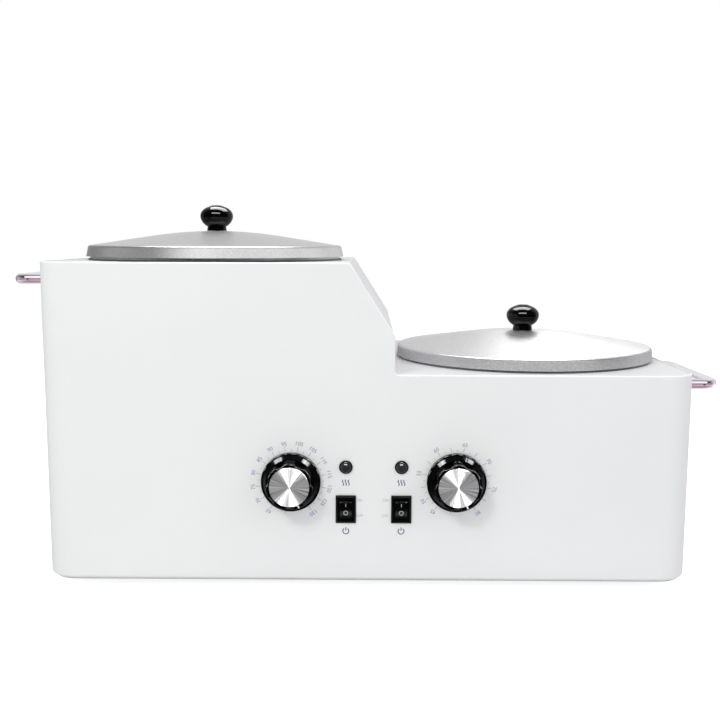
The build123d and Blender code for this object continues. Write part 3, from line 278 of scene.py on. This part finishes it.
def spun_metal(name, colour, roughness, centre, grain, lines, sheen):
    """Spun sheet metal: turning lines round its axis under an etched grain."""
    finish = Finish(name)
    tree = finish.tree
    rings = turning_lines(finish, radius_from(finish, centre, "Z"), 1500)
    speck = finish.noise(SPECK_SCALE, 4, 0.7)
    cloud = finish.noise(30, 3)
    tone = mixed(tree, ranged(tree, speck, 0, 1), shade(colour, 1 - grain), shade(colour, 1 + grain))
    tone = mixed(tree, ranged(tree, cloud, 0, 0.35), tone, shade(colour, 0.92))
    gloss = ranged(tree, speck, roughness - 0.02, roughness + 0.04)
    marks = bumped(tree, rings, 0.004, lines)
    etched = bumped(tree, speck, 0.012, 3 * grain, under=marks)
    return finish.surface(
        Base_Color=tone, Metallic=1.0, Roughness=gloss, Anisotropic=sheen,
        Tangent=radial_tangent(finish, "Z"), Normal=etched,
    )


def turned_cap(name, centre):
    """The dial's face: a turned disc, whose rings throw light out in sectors. Its base colour also
    carries light and dark radial streaks by angle, a painted reflection of those sectors.
    """
    finish = Finish(name)
    tree = finish.tree
    rings = turning_lines(finish, radius_from(finish, centre, "Y"), 4000)
    moved = add(tree, "VectorMath", {0: finish.at, 1: tuple(centre)}, operation="SUBTRACT")
    parts = add(tree, "SeparateXYZ", {"Vector": moved.outputs[0]})
    angle = math_node(tree, "ARCTAN2", parts.outputs["X"], parts.outputs["Z"])
    # Light and dark streaks by angle, painted into the base colour as painted reflection
    sectors = {"W": angle, "Scale": 8.0, "Detail": 5.0, "Roughness": 0.6}
    painted_sheen_streaks = add(tree, "TexNoise", sectors, noise_dimensions="1D").outputs["Fac"]
    tone = mixed(tree, ranged(tree, painted_sheen_streaks, 0, 1), (0.26, 0.26, 0.27), (0.74, 0.74, 0.75))
    gloss = ranged(tree, rings, 0.33, 0.40)
    cut = bumped(tree, rings, 0.003, 0.5)
    return finish.surface(
        Base_Color=tone, Metallic=1.0, Roughness=gloss, Anisotropic=0.92, Anisotropic_Rotation=0.25,
        Tangent=radial_tangent(finish, "Y"), Normal=cut,
    )


def chrome(name):
    finish = Finish(name)
    smear = finish.noise(90, 4)
    gloss = ranged(finish.tree, smear, 0.05, 0.12)
    tone = mixed(finish.tree, ranged(finish.tree, smear, 0, 1), (0.80, 0.76, 0.82), (0.90, 0.86, 0.92))
    ripple = bumped(finish.tree, finish.noise(160, 2), 0.01, 0.3)
    return finish.surface(Base_Color=tone, Metallic=1.0, Roughness=gloss, Normal=ripple)


def moulded(name, colour, roughness, texture=0.004, scale=900, specular=0.5):
    """Moulded plastic or rubber, with the mould's fine texture and handling marks."""
    finish = Finish(name)
    smear = finish.noise(140, 4)
    tone = mixed(finish.tree, ranged(finish.tree, smear, 0, 1), shade(colour, 0.9), shade(colour, 1.1))
    gloss = ranged(finish.tree, smear, roughness * 0.85, roughness * 1.2)
    skin = bumped(finish.tree, finish.noise(scale, 3), texture)
    return finish.surface(Base_Color=tone, Roughness=gloss, Normal=skin, Specular_IOR_Level=specular)


def plain_metal(name, colour, roughness):
    """Plated or drawn metal with an uneven, slightly stained surface."""
    finish = Finish(name)
    stain = finish.noise(STAIN_SCALE, 4)
    tone = mixed(finish.tree, ranged(finish.tree, stain, 0, 1), shade(colour, 0.8), colour)
    gloss = ranged(finish.tree, stain, roughness - 0.07, roughness + 0.1)
    pits = bumped(finish.tree, finish.noise(STAIN_SCALE * 3, 2), 0.004)
    return finish.surface(Base_Color=tone, Metallic=1.0, Roughness=gloss, Normal=pits)


def woven(name, colour, pitch):
    """Glass cloth: two sets of threads that cross round an upright sleeve."""
    finish = Finish(name)
    tree = finish.tree
    threads = []
    for direction in ("DIAGONAL", "Z"):
        wave = add(
            tree, "TexWave", {"Vector": finish.at, "Scale": 1 / (pitch * MM) / 20, "Distortion": 1.5},
            wave_type="BANDS", bands_direction=direction,
        )
        threads.append(wave.outputs["Fac"])
    weave = math_node(tree, "MAXIMUM", *threads)
    tone = mixed(tree, weave, shade(colour, 0.7), colour)
    return finish.surface(Base_Color=tone, Roughness=0.9, Normal=bumped(tree, weave, 0.3))


def ink(name, colour):
    """Screen-printed ink, a little uneven in its cover."""
    finish = Finish(name)
    cover = ranged(finish.tree, finish.noise(2500, 3), 0, 1, 0.35, 0.6)
    tone = mixed(finish.tree, cover, shade(colour, 1.25), colour)
    rough = ranged(finish.tree, cover, 0.5, 0.65)
    return finish.surface(Base_Color=tone, Roughness=rough)


def lens(name):
    """Smoked plastic, its tone drifting a little at random."""
    finish = Finish(name)
    swirl = finish.noise(300, 2)
    share = ranged(finish.tree, swirl, 0, 1)
    tone = mixed(finish.tree, share, (0.022, 0.022, 0.024), (0.036, 0.036, 0.038))
    rough = ranged(finish.tree, swirl, 0.05, 0.12)
    skin = bumped(finish.tree, finish.noise(500, 1), 0.002)
    return finish.surface(Base_Color=tone, Roughness=rough, Normal=skin, Specular_IOR_Level=0.6)


def middle(node):
    low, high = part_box(node)
    return (low + high) / 2


def dress(material, *names):
    """Gives each named CAD node a material in place of its own."""
    for name in names:
        mesh = nodes[name].data
        mesh.materials.clear()
        mesh.materials.append(material)


def both(node):
    return [f"{side}_{node}" for side in SIDES]


def dress_case():
    dress(powder_coat("white_coat", (0.864, 0.884, 0.876), 0.34), "body_shell")
    # The deck's coat is the body's white painted lighter, as painted light against the shade the lids
    # throw on it
    dress(powder_coat("deck_coat_painted_light", (0.925, 0.93, 0.93), 0.42), "deck_plate")
    dress(powder_coat("base_coat", (0.66, 0.67, 0.67), 0.5), "base_plate")
    dress(moulded("foot_rubber", (0.02, 0.02, 0.02), 0.75, 0.02), "rubber_feet")
    dress(chrome("handle_chrome"), *both("handle"))


def dress_lids_and_pots():
    for side in SIDES:
        centre = middle(f"{side}_lid_cover")
        lid = spun_metal(f"{side}_lid_metal", LID_TONE, 0.38, centre, LID_GRAIN[side], 0.4, 0.1)
        dress(lid, f"{side}_lid_cover")
        pot = spun_metal(f"{side}_pot_metal", POT_TONE, 0.24, centre, 0.02, 1.0, 0.5)
        dress(pot, f"{side}_pot")
        # The well's metal is painted dark: painted shade in the gap under the lid
        well = spun_metal(f"{side}_well_metal_painted_shade", WELL_PAINTED_SHADE_TONE, 0.42, centre, 0.03, 1.0, 0.4)
        dress(well, f"{side}_heating_well")


def dress_controls():
    gloss_black = moulded("gloss_black", (0.001, 0.001, 0.0012), 0.1, 0.0015, 260, 0.25)
    dress(gloss_black, *both("dial_knob"), *both("lid_knob"))
    switch_black = moulded("switch_black", (0.0018, 0.002, 0.0018), 0.3, 0.002, 1400, 0.25)
    dress(switch_black, *both("switch_housing"), *both("lamp_body"), "lamp_nuts")
    dress(moulded("rocker_black", (0.0015, 0.0016, 0.0015), 0.16, 0.001, 1400, 0.25), *both("rocker"))
    dress(lens("lamp_smoke"), *both("lamp_lens"))
    for side in SIDES:
        dress(turned_cap(f"{side}_cap_metal_painted_sheen", middle(f"{side}_dial_cap")), f"{side}_dial_cap")


def dress_inside():
    fasteners = (
        "base_screws", "foot_screws", "foot_nuts", "handle_washers", "handle_nuts", "thermostat_screws",
        "inlet_screws", "inlet_nuts", "block_screws", "block_nuts", "earth_stud",
        *both("lid_washer"), *both("lid_screw"),
    )
    dress(plain_metal("zinc_plate", (0.62, 0.63, 0.66), 0.32), *fasteners)
    dress(plain_metal("turned_steel", (0.55, 0.55, 0.56), 0.28), *both("thermostat_shaft"))
    dress(plain_metal("band_steel", (0.50, 0.48, 0.45), 0.4), *both("heater_band"))
    dress(plain_metal("blade_brass", (0.72, 0.56, 0.28), 0.3), "inlet_pins", "switch_tabs")
    dress(plain_metal("tube_copper", (0.70, 0.38, 0.24), 0.3), *both("capillary"))
    dress(moulded("inlet_black", (0.012, 0.012, 0.013), 0.45, 0.01), "mains_inlet")
    brown = moulded("thermostat_brown", (0.035, 0.024, 0.018), 0.5, 0.01)
    dress(brown, *both("thermostat"), "thermal_cutouts")
    dress(moulded("block_nylon", (0.72, 0.72, 0.66), 0.5, 0.01), "terminal_block")
    dress(moulded("wire_silicone", (0.70, 0.67, 0.62), 0.6, 0.01), "wiring_harness")
    dress(woven("wool_sleeve", (0.74, 0.71, 0.63), 1.2), *both("insulation_jacket"))


# Flat figures, each a list of outlines, and each outline a list of (across, up) points

def bar(width, height, at=(0, 0)):
    x, z = width / 2, height / 2
    return [(at[0] + u, at[1] + v) for u, v in ((-x, -z), (x, -z), (x, z), (-x, z))]


def stroke(points, width):
    """A line of quads along points, mitred at each point."""
    edges = []
    for index, point in enumerate(points):
        before = Vector(points[max(index - 1, 0)])
        after = Vector(points[min(index + 1, len(points) - 1)])
        along = (after - before).normalized()
        side = Vector((-along.y, along.x)) * width / 2
        edges.append((Vector(point) + side, Vector(point) - side))
    return [
        [tuple(a[1]), tuple(b[1]), tuple(b[0]), tuple(a[0])] for a, b in zip(edges, edges[1:])
    ]


def arc(radius, start, end, at=(0, 0), steps=40):
    """Points on an arc, with angles clockwise from the top."""
    turns = [radians(start + (end - start) * step / steps) for step in range(steps + 1)]
    return [(at[0] + radius * sin(turn), at[1] + radius * cos(turn)) for turn in turns]


def words(text, height, at=(0, 0), clockwise=0.0):
    """Text as outlines, centred on a point and turned, from the plain built-in font."""
    curve = bpy.data.curves.new("words", "FONT")
    curve.body = text
    curve.align_x = "CENTER"
    curve.align_y = "CENTER"
    curve.resolution_u = 3
    holder = bpy.data.objects.new("words", curve)
    mesh = bpy.data.meshes.new_from_object(holder)
    heights = [v.co.y for v in mesh.vertices]
    tall = max(heights) - min(heights)
    mid_y = (max(heights) + min(heights)) / 2
    ahead, aside = cos(radians(clockwise)), sin(radians(clockwise))
    made = []
    for face in mesh.polygons:
        outline = []
        for index in face.vertices:
            u = mesh.vertices[index].co.x * height / tall
            v = (mesh.vertices[index].co.y - mid_y) * height / tall
            outline.append((at[0] + u * ahead + v * aside, at[1] - u * aside + v * ahead))
        made.append(outline)
    bpy.data.objects.remove(holder)
    bpy.data.curves.remove(curve)
    bpy.data.meshes.remove(mesh)
    return made


def skin_piece(name, faces, material, body):
    """A thin solid on a surface, from faces given as points on that surface."""
    mesh = bpy.data.meshes.new(name)
    points = [point for face in faces for point in face]
    loops = []
    start = 0
    for face in faces:
        loops.append(list(range(start, start + len(face))))
        start += len(face)
    mesh.from_pydata(points, [], loops)
    mesh.validate()
    mesh.materials.append(material)
    piece = bpy.data.objects.new(name, mesh)
    bpy.context.scene.collection.objects.link(piece)
    weld = piece.modifiers.new("weld", "WELD")
    weld.merge_threshold = 0.0005 * MM
    solid = piece.modifiers.new("thickness", "SOLIDIFY")
    solid.thickness = INK_T * MM
    solid.offset = 1.0
    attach(piece, body)


def panel_print(name, centre, figures, material):
    """Figures printed flat on the front panel round a centre, which is in metres."""
    panel_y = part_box("body_shell")[0].y - INK_LIFT * MM
    faces = [
        [(centre.x + u * MM, panel_y, centre.z + v * MM) for u, v in outline] for outline in figures
    ]
    skin_piece(name, faces, material, "root")


# Printed scales, signs and words

def scale_figures(numbers):
    figures = []
    for index in range(2 * MARK_COUNT - 1):
        angle = FIRST_MARK + index * MARK_STEP / 2
        far = TICK_MAJOR if index % 2 == 0 else TICK_MINOR
        figures += tick(angle, far)
    figures += tick(OFF_MARK, TICK_MINOR)
    for index, number in numbers.items():
        angle = FIRST_MARK + index * MARK_STEP
        reach = NUMBER_AT + (LONG_NUMBER_OUT if number >= LONG_NUMBER else 0)
        at = (reach * sin(radians(angle)), reach * cos(radians(angle)))
        figures += words(str(number), NUMBER_H, at, angle)
    return figures


def tick(angle, far):
    turn = radians(angle)
    points = [(r * sin(turn), r * cos(turn)) for r in (TICK_FROM, far)]
    return stroke(points, TICK_W)


def heat_sign():
    """Three rising wavy lines."""
    figures = []
    for place in (-1, 0, 1):
        points = []
        for step in range(HEAT_SIGN_STEPS + 1):
            share = step / HEAT_SIGN_STEPS
            x = place * HEAT_SIGN_PITCH + HEAT_SIGN_WAVE * sin(2 * pi * share)
            points.append((x, (share - 0.5) * HEAT_SIGN_H))
        figures += stroke(points, SIGN_STROKE)
    return [[(u, v + HEAT_SIGN_Z) for u, v in outline] for outline in figures]


def power_sign():
    """A broken ring with an upright stroke in its gap, sized by shares of the ring's radius."""
    outline = arc(POWER_SIGN_R, POWER_SIGN_GAP, 360 - POWER_SIGN_GAP, (0, POWER_SIGN_Z))
    stroke_at = (0, POWER_SIGN_Z + POWER_SIGN_R * POWER_STROKE_UP)
    return stroke(outline, SIGN_STROKE) + [bar(SIGN_STROKE, POWER_SIGN_R * POWER_STROKE_H, stroke_at)]


def print_panel():
    purple = ink("purple_ink", (0.11, 0.035, 0.20))
    pale = ink("pale_ink", (0.33, 0.23, 0.43))
    faint = ink("faint_ink", (0.50, 0.38, 0.60))
    for side, numbers, inward in (("left", LEFT_NUMBERS, 1), ("right", RIGHT_NUMBERS, -1)):
        dial = middle(f"{side}_dial_knob")
        lamp = middle(f"{side}_lamp_body")
        switch = middle(f"{side}_switch_housing")
        panel_print(f"{side}_dial_scale", dial, scale_figures(numbers), pale)
        panel_print(f"{side}_heat_sign", lamp, heat_sign(), purple)
        panel_print(f"{side}_power_sign", switch, power_sign(), purple)
        figures = words("ON", WORD_H, (inward * WORD_X[side], WORD_ON_Z))
        figures += words("OFF", WORD_H, (inward * (WORD_X[side] + WORD_OFF_OUT), WORD_OFF_Z))
        panel_print(f"{side}_switch_words", switch, figures, faint)


# Marks that move with their pieces

def surface_of(node):
    """A tree that rays are cast on, from a CAD node's own faces."""
    mesh = nodes[node].data
    return BVHTree.FromPolygons([v.co for v in mesh.vertices], [p.vertices for p in mesh.polygons])


def landed(tree, origin, direction, lift):
    """Where a ray meets a surface, lifted a little off it."""
    spot, normal = tree.ray_cast(Vector(origin), Vector(direction))[:2]
    if normal.dot(Vector(direction)) > 0:
        normal = -normal
    return spot + normal * lift * MM


def rocker_marks(side, material):
    """The stroke and the ring pad-printed on the paddle's two faces."""
    node = f"{side}_rocker"
    centre = middle(f"{side}_switch_housing")
    tree = surface_of(node)
    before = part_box(node)[0].y - RAY_START * MM
    low, high = ROCKER_I
    heights = [low + (high - low) * step / ROCKER_I_STEPS for step in range(ROCKER_I_STEPS + 1)]
    figures = stroke([(0, height) for height in heights], ROCKER_I_W)
    figures += stroke(arc(ROCKER_O_R, 0, 360, (0, ROCKER_O_Z)), ROCKER_STROKE)
    faces = []
    for outline in figures:
        spots = [(centre.x + u * MM, before, centre.z + v * MM) for u, v in outline]
        faces.append([landed(tree, spot, (0, 1, 0), INK_LIFT) for spot in spots])
    skin_piece(f"{side}_rocker_marks", faces, material, node)


def pointer(side, material):
    """The white line from the cap's edge over the grip and down its side."""
    centre = middle(f"{side}_dial_knob")
    tree = surface_of(f"{side}_dial_knob")
    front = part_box(f"{side}_dial_knob")[0].y
    turn = radians(POINTER_ANGLE)
    out = Vector((sin(turn), 0, cos(turn)))
    across = Vector((cos(turn), 0, -sin(turn)))
    rows = []
    axis = Vector((centre.x, 0, centre.z))
    for share in POINTER_SHARES:
        radius = (CAP_R + CAP_MARGIN + (GRIP_TOP_R - CAP_R) * share) * MM
        rows.append((axis + out * radius + Vector((0, front - RAY_START * MM, 0)), (0, 1, 0)))
    for depth in POINTER_DEPTHS:
        spot = axis + out * 2 * GRIP_FOOT_R * MM + Vector((0, front + depth * MM, 0))
        rows.append((spot, -out))
    half = POINTER_W / 2 * MM
    edges = []
    for spot, direction in rows:
        corners = [spot + across * offset for offset in (-half, half)]
        edges.append([landed(tree, corner, direction, POINTER_LIFT) for corner in corners])
    faces = [[a[0], a[1], b[1], b[0]] for a, b in zip(edges, edges[1:])]
    skin_piece(f"{side}_pointer", faces, material, f"{side}_dial")


def mark_moving_pieces():
    white = ink("white_ink", (0.80, 0.80, 0.80))
    grey = ink("grey_ink", (0.33, 0.33, 0.33))
    for side in SIDES:
        rocker_marks(side, grey)
        pointer(side, white)


# Stage, lamps and camera

def toward(azimuth, elevation):
    """A direction from the object, with azimuth from the front towards +X."""
    flat = cos(radians(elevation))
    turn = radians(azimuth)
    return Vector((flat * sin(turn), -flat * cos(turn), sin(radians(elevation))))


def area_lamp(name, place, way, size, tone, colour=(1, 1, 1), shows_in=None, lights=None):
    """An area lamp of a given tone that faces back along way.

    It lights every matt surface and shows in none, or lights only the nodes in lights. With
    shows_in it shows only in the gloss of those nodes, as a card held up for one piece does.
    """
    lamp = bpy.data.lights.new(name, "AREA")
    lamp.shape = "RECTANGLE"
    lamp.size, lamp.size_y = size
    lamp.energy = tone * pi * size[0] * size[1]
    lamp.color = colour
    holder = bpy.data.objects.new(name, lamp)
    holder.location = place
    holder.rotation_euler = (-way).to_track_quat("-Z", "Y").to_euler()
    holder.visible_camera = False
    holder.visible_diffuse = shows_in is None
    holder.visible_glossy = shows_in is not None
    bpy.context.scene.collection.objects.link(holder)
    if shows_in or lights:
        group = bpy.data.collections.new(name)
        for node in shows_in or lights:
            group.objects.link(nodes[node])
        holder.light_linking.receiver_collection = group


def soft_box(name, azimuth, elevation, away, size, tone, colour=(1, 1, 1), shows_in=None):
    way = toward(azimuth, elevation)
    place = Vector((0, 0, LAMP_TARGET_Z)) + way * away
    area_lamp(name, place, way, size, tone, colour, shows_in)


def floor_lamp(name, at, size, tone, colour=(1, 1, 1), **where):
    """A lamp just over the floor that faces up."""
    area_lamp(name, (*at, FLOOR_LAMP_Z), Vector((0, 0, -1)), size, tone, colour, **where)


def seen_directly(tree):
    """1 for rays from the camera, and for those that metal and glass send on."""
    rays = add(tree, "LightPath").outputs
    either = math_node(tree, "MAXIMUM", rays["Is Camera Ray"], rays["Is Transmission Ray"])
    return math_node(tree, "MAXIMUM", either, rays["Is Glossy Ray"])


def make_world():
    """White for the camera, a room with a white back wall for gloss, and an even fill."""
    world = bpy.data.worlds.new("studio")
    world.use_nodes = True
    tree = world.node_tree
    tree.nodes.clear()
    way = add(tree, "SeparateXYZ", {"Vector": add(tree, "TexCoord").outputs["Generated"]})
    behind = ranged(tree, way.outputs["Y"], 0, 1, *ROOM_TO_BACKDROP)
    beside = ranged(tree, way.outputs["X"], 0, 1, *ROOM_TO_SIDE)
    backdrop = mixed(tree, beside, (ROOM_BACK,) * 3, (ROOM_SIDE,) * 3)
    gloss = mixed(tree, behind, (ROOM_FRONT,) * 3, backdrop)
    white = add(tree, "Background", {"Color": rgba((1, 1, 1)), "Strength": 1.0})
    reflected = add(tree, "Background", {"Color": gloss, "Strength": 1.0})
    soft = add(tree, "Background", {"Color": rgba(FILL_COLOUR), "Strength": FILL_STRENGTH})
    path = add(tree, "LightPath")
    mix = add(tree, "MixShader", {0: seen_directly(tree), 1: soft.outputs[0], 2: white.outputs[0]})
    both_ways = {0: path.outputs["Is Glossy Ray"], 1: mix.outputs[0], 2: reflected.outputs[0]}
    add(tree, "OutputWorld", {"Surface": add(tree, "MixShader", both_ways).outputs[0]})
    bpy.context.scene.world = world


def make_floor():
    """A round white floor that fades into the white of the world away from the object."""
    mesh = bpy.data.meshes.new("floor")
    turns = [radians(360 / FLOOR_CORNERS * corner) for corner in range(FLOOR_CORNERS)]
    rim = [(FLOOR_R * sin(turn), FLOOR_R * cos(turn), 0) for turn in turns]
    mesh.from_pydata(rim, [], [list(reversed(range(FLOOR_CORNERS)))])
    floor = bpy.data.objects.new("floor", mesh)
    bpy.context.scene.collection.objects.link(floor)
    finish = Finish("pale_floor")
    tree = finish.tree
    tone = mixed(tree, finish.noise(3, 2), (0.86, 0.86, 0.86), (0.88, 0.88, 0.88))
    plain = add(tree, "BsdfDiffuse", {"Color": tone})
    glow = add(tree, "Emission", {"Color": rgba((1, 1, 1)), "Strength": FLOOR_GLOW})
    lit = add(tree, "AddShader", {0: plain.outputs[0], 1: glow.outputs[0]})
    by_camera = add(tree, "LightPath").outputs["Is Camera Ray"]
    seen = add(tree, "MixShader", {0: by_camera, 1: plain.outputs[0], 2: lit.outputs[0]})
    away = add(tree, "VectorMath", {0: finish.at}, operation="LENGTH").outputs["Value"]
    fade = ranged(tree, away, 0, 1, *FLOOR_FADE)
    clear = add(tree, "BsdfTransparent")
    whole = add(tree, "MixShader", {0: fade, 1: seen.outputs[0], 2: clear.outputs[0]})
    add(tree, "OutputMaterial", {"Surface": whole.outputs[0]})
    mesh.materials.append(finish.material)
    floor.visible_glossy = False


def make_camera():
    pitch, yaw, roll = (radians(a) for a in (CAMERA_PITCH, CAMERA_YAW, CAMERA_ROLL))
    forward = Vector((sin(yaw) * cos(pitch), cos(yaw) * cos(pitch), -sin(pitch)))
    right = Vector((cos(yaw), -sin(yaw), 0))
    up = right.cross(forward)
    right, up = right * cos(roll) + up * sin(roll), up * cos(roll) - right * sin(roll)
    camera = bpy.data.cameras.new("camera")
    camera.lens = CAMERA_LENS
    camera.sensor_width = CAMERA_SENSOR
    camera.clip_start = 0.01
    camera.clip_end = 50
    holder = bpy.data.objects.new("camera", camera)
    bpy.context.scene.collection.objects.link(holder)
    panel_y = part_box("body_shell")[0].y
    across, out, high = CAMERA_AT
    place = Matrix.Translation((across * MM, panel_y - out * MM, high * MM))
    axes = Matrix((right, up, -forward)).transposed().to_4x4()
    holder.matrix_world = place @ axes
    bpy.context.scene.camera = holder


def make_lamps():
    soft_box("key", -30, 38, 1.55, (0.35, 0.35), 16, KEY_TINT)
    soft_box("side", 60, 27, 1.7, (0.5, 0.5), 3.2)
    area_lamp("deck_top", (0.13, -1.4, 0.5), toward(0, 14), (0.8, 0.3), 9, lights=["deck_plate"])
    floor_lamp("under_edge", (0, -0.15), (0.48, 0.05), 0.13, UNDER_TINT, lights=["body_shell"])


def light_metals():
    """The white floor and cards that show in the lids, the caps and the handles."""
    caps = both("dial_cap")
    handles = both("handle")
    floor_lamp("metal_floor", (0.25, -0.55), (1.6, 0.7), 0.65, shows_in=LIDS + caps)
    for name, azimuth, elevation, away, size, tone, lids in LID_CARDS:
        soft_box(name, azimuth, elevation, away, size, tone, shows_in=lids)
    for side, azimuth in (("left", -20), ("right", 16)):
        soft_box(f"cap_{side}", azimuth, 28, 1.2, (0.14, 0.5), 140, shows_in=caps)
    soft_box("handle_front", 0, 50, 1.3, (3.2, 1.25), 1.1, HANDLE_FRONT_TINT, handles)
    for azimuth in (-80, 0, 80):
        soft_box(f"handle_room_{azimuth}", azimuth, -4, 1.6, (2.2, 1.4), 0.34, HANDLE_TINT, handles)
    soft_box("handle_back", 180, 30, 1.8, (4.0, 2.4), 0.22, HANDLE_BACK_TINT, handles)
    floor_lamp("handle_floor", (0, -0.2), (2.2, 1.8), 0.38, HANDLE_TINT, shows_in=handles)


def light_blacks():
    """The lamps whose reflections shape the glossy black pieces."""
    knobs = both("lid_knob")
    dials = both("dial_knob")
    switches = both("switch_housing") + both("lamp_body")
    between_dials = middle("left_dial_knob") * 0.5 + middle("right_dial_knob") * 0.5
    soft_box("knob_front", -4, 45, 1.3, (1.2, 0.4), 18, shows_in=knobs + both("lamp_lens"))
    soft_box("knob_top", 170, 70, 1.3, (1.4, 0.8), 14, shows_in=knobs)
    for turn in range(-80, 81, 20):
        around, out = sin(radians(turn)), cos(radians(turn))
        way = Vector((around * sin(DIAL_RING), -cos(DIAL_RING), out * sin(DIAL_RING)))
        place = between_dials + way * DIAL_RING_AWAY
        area_lamp(f"dial_ring_{turn}", place, way, (0.22, 0.22), 110, shows_in=dials)
    for azimuth in (-75, 72):
        soft_box(f"dial_side_{azimuth}", azimuth, 42, 1.3, (0.5, 0.3), 26, shows_in=dials)
        soft_box(f"dial_near_{azimuth}", 0.75 * azimuth, 50, 1.3, (0.3, 0.2), 34, shows_in=dials)
    soft_box("dial_far_left", -95, 8, 1.3, (0.3, 0.3), 20, shows_in=dials)
    soft_box("switch_top", 0, 80, 1.3, (0.9, 0.3), 5.5, SWITCH_TINT, shows_in=switches)
    for y, deep, tone in ROCKER_CARDS:
        size = (ROCKER_CARD_W, deep)
        at = (ROCKER_CARD_X, y)
        floor_lamp(f"rocker_card_{deep}", at, size, tone, SWITCH_TINT, shows_in=both("rocker"))
    area_lamp("bead_top", (0, -0.1, 1.2), Vector((0, 0, 1)), (0.9, 0.1), 16, lights=["body_shell"])
    soft_box("bead", -10, 75, 1.3, (1.2, 0.4), 30, shows_in=["body_shell"])


make_camera()
make_world()
make_floor()
make_lamps()
light_metals()
light_blacks()
dress_case()
dress_lids_and_pots()
dress_controls()
dress_inside()
print_panel()
mark_moving_pieces()
bpy.context.scene.view_settings.view_transform = "Standard"
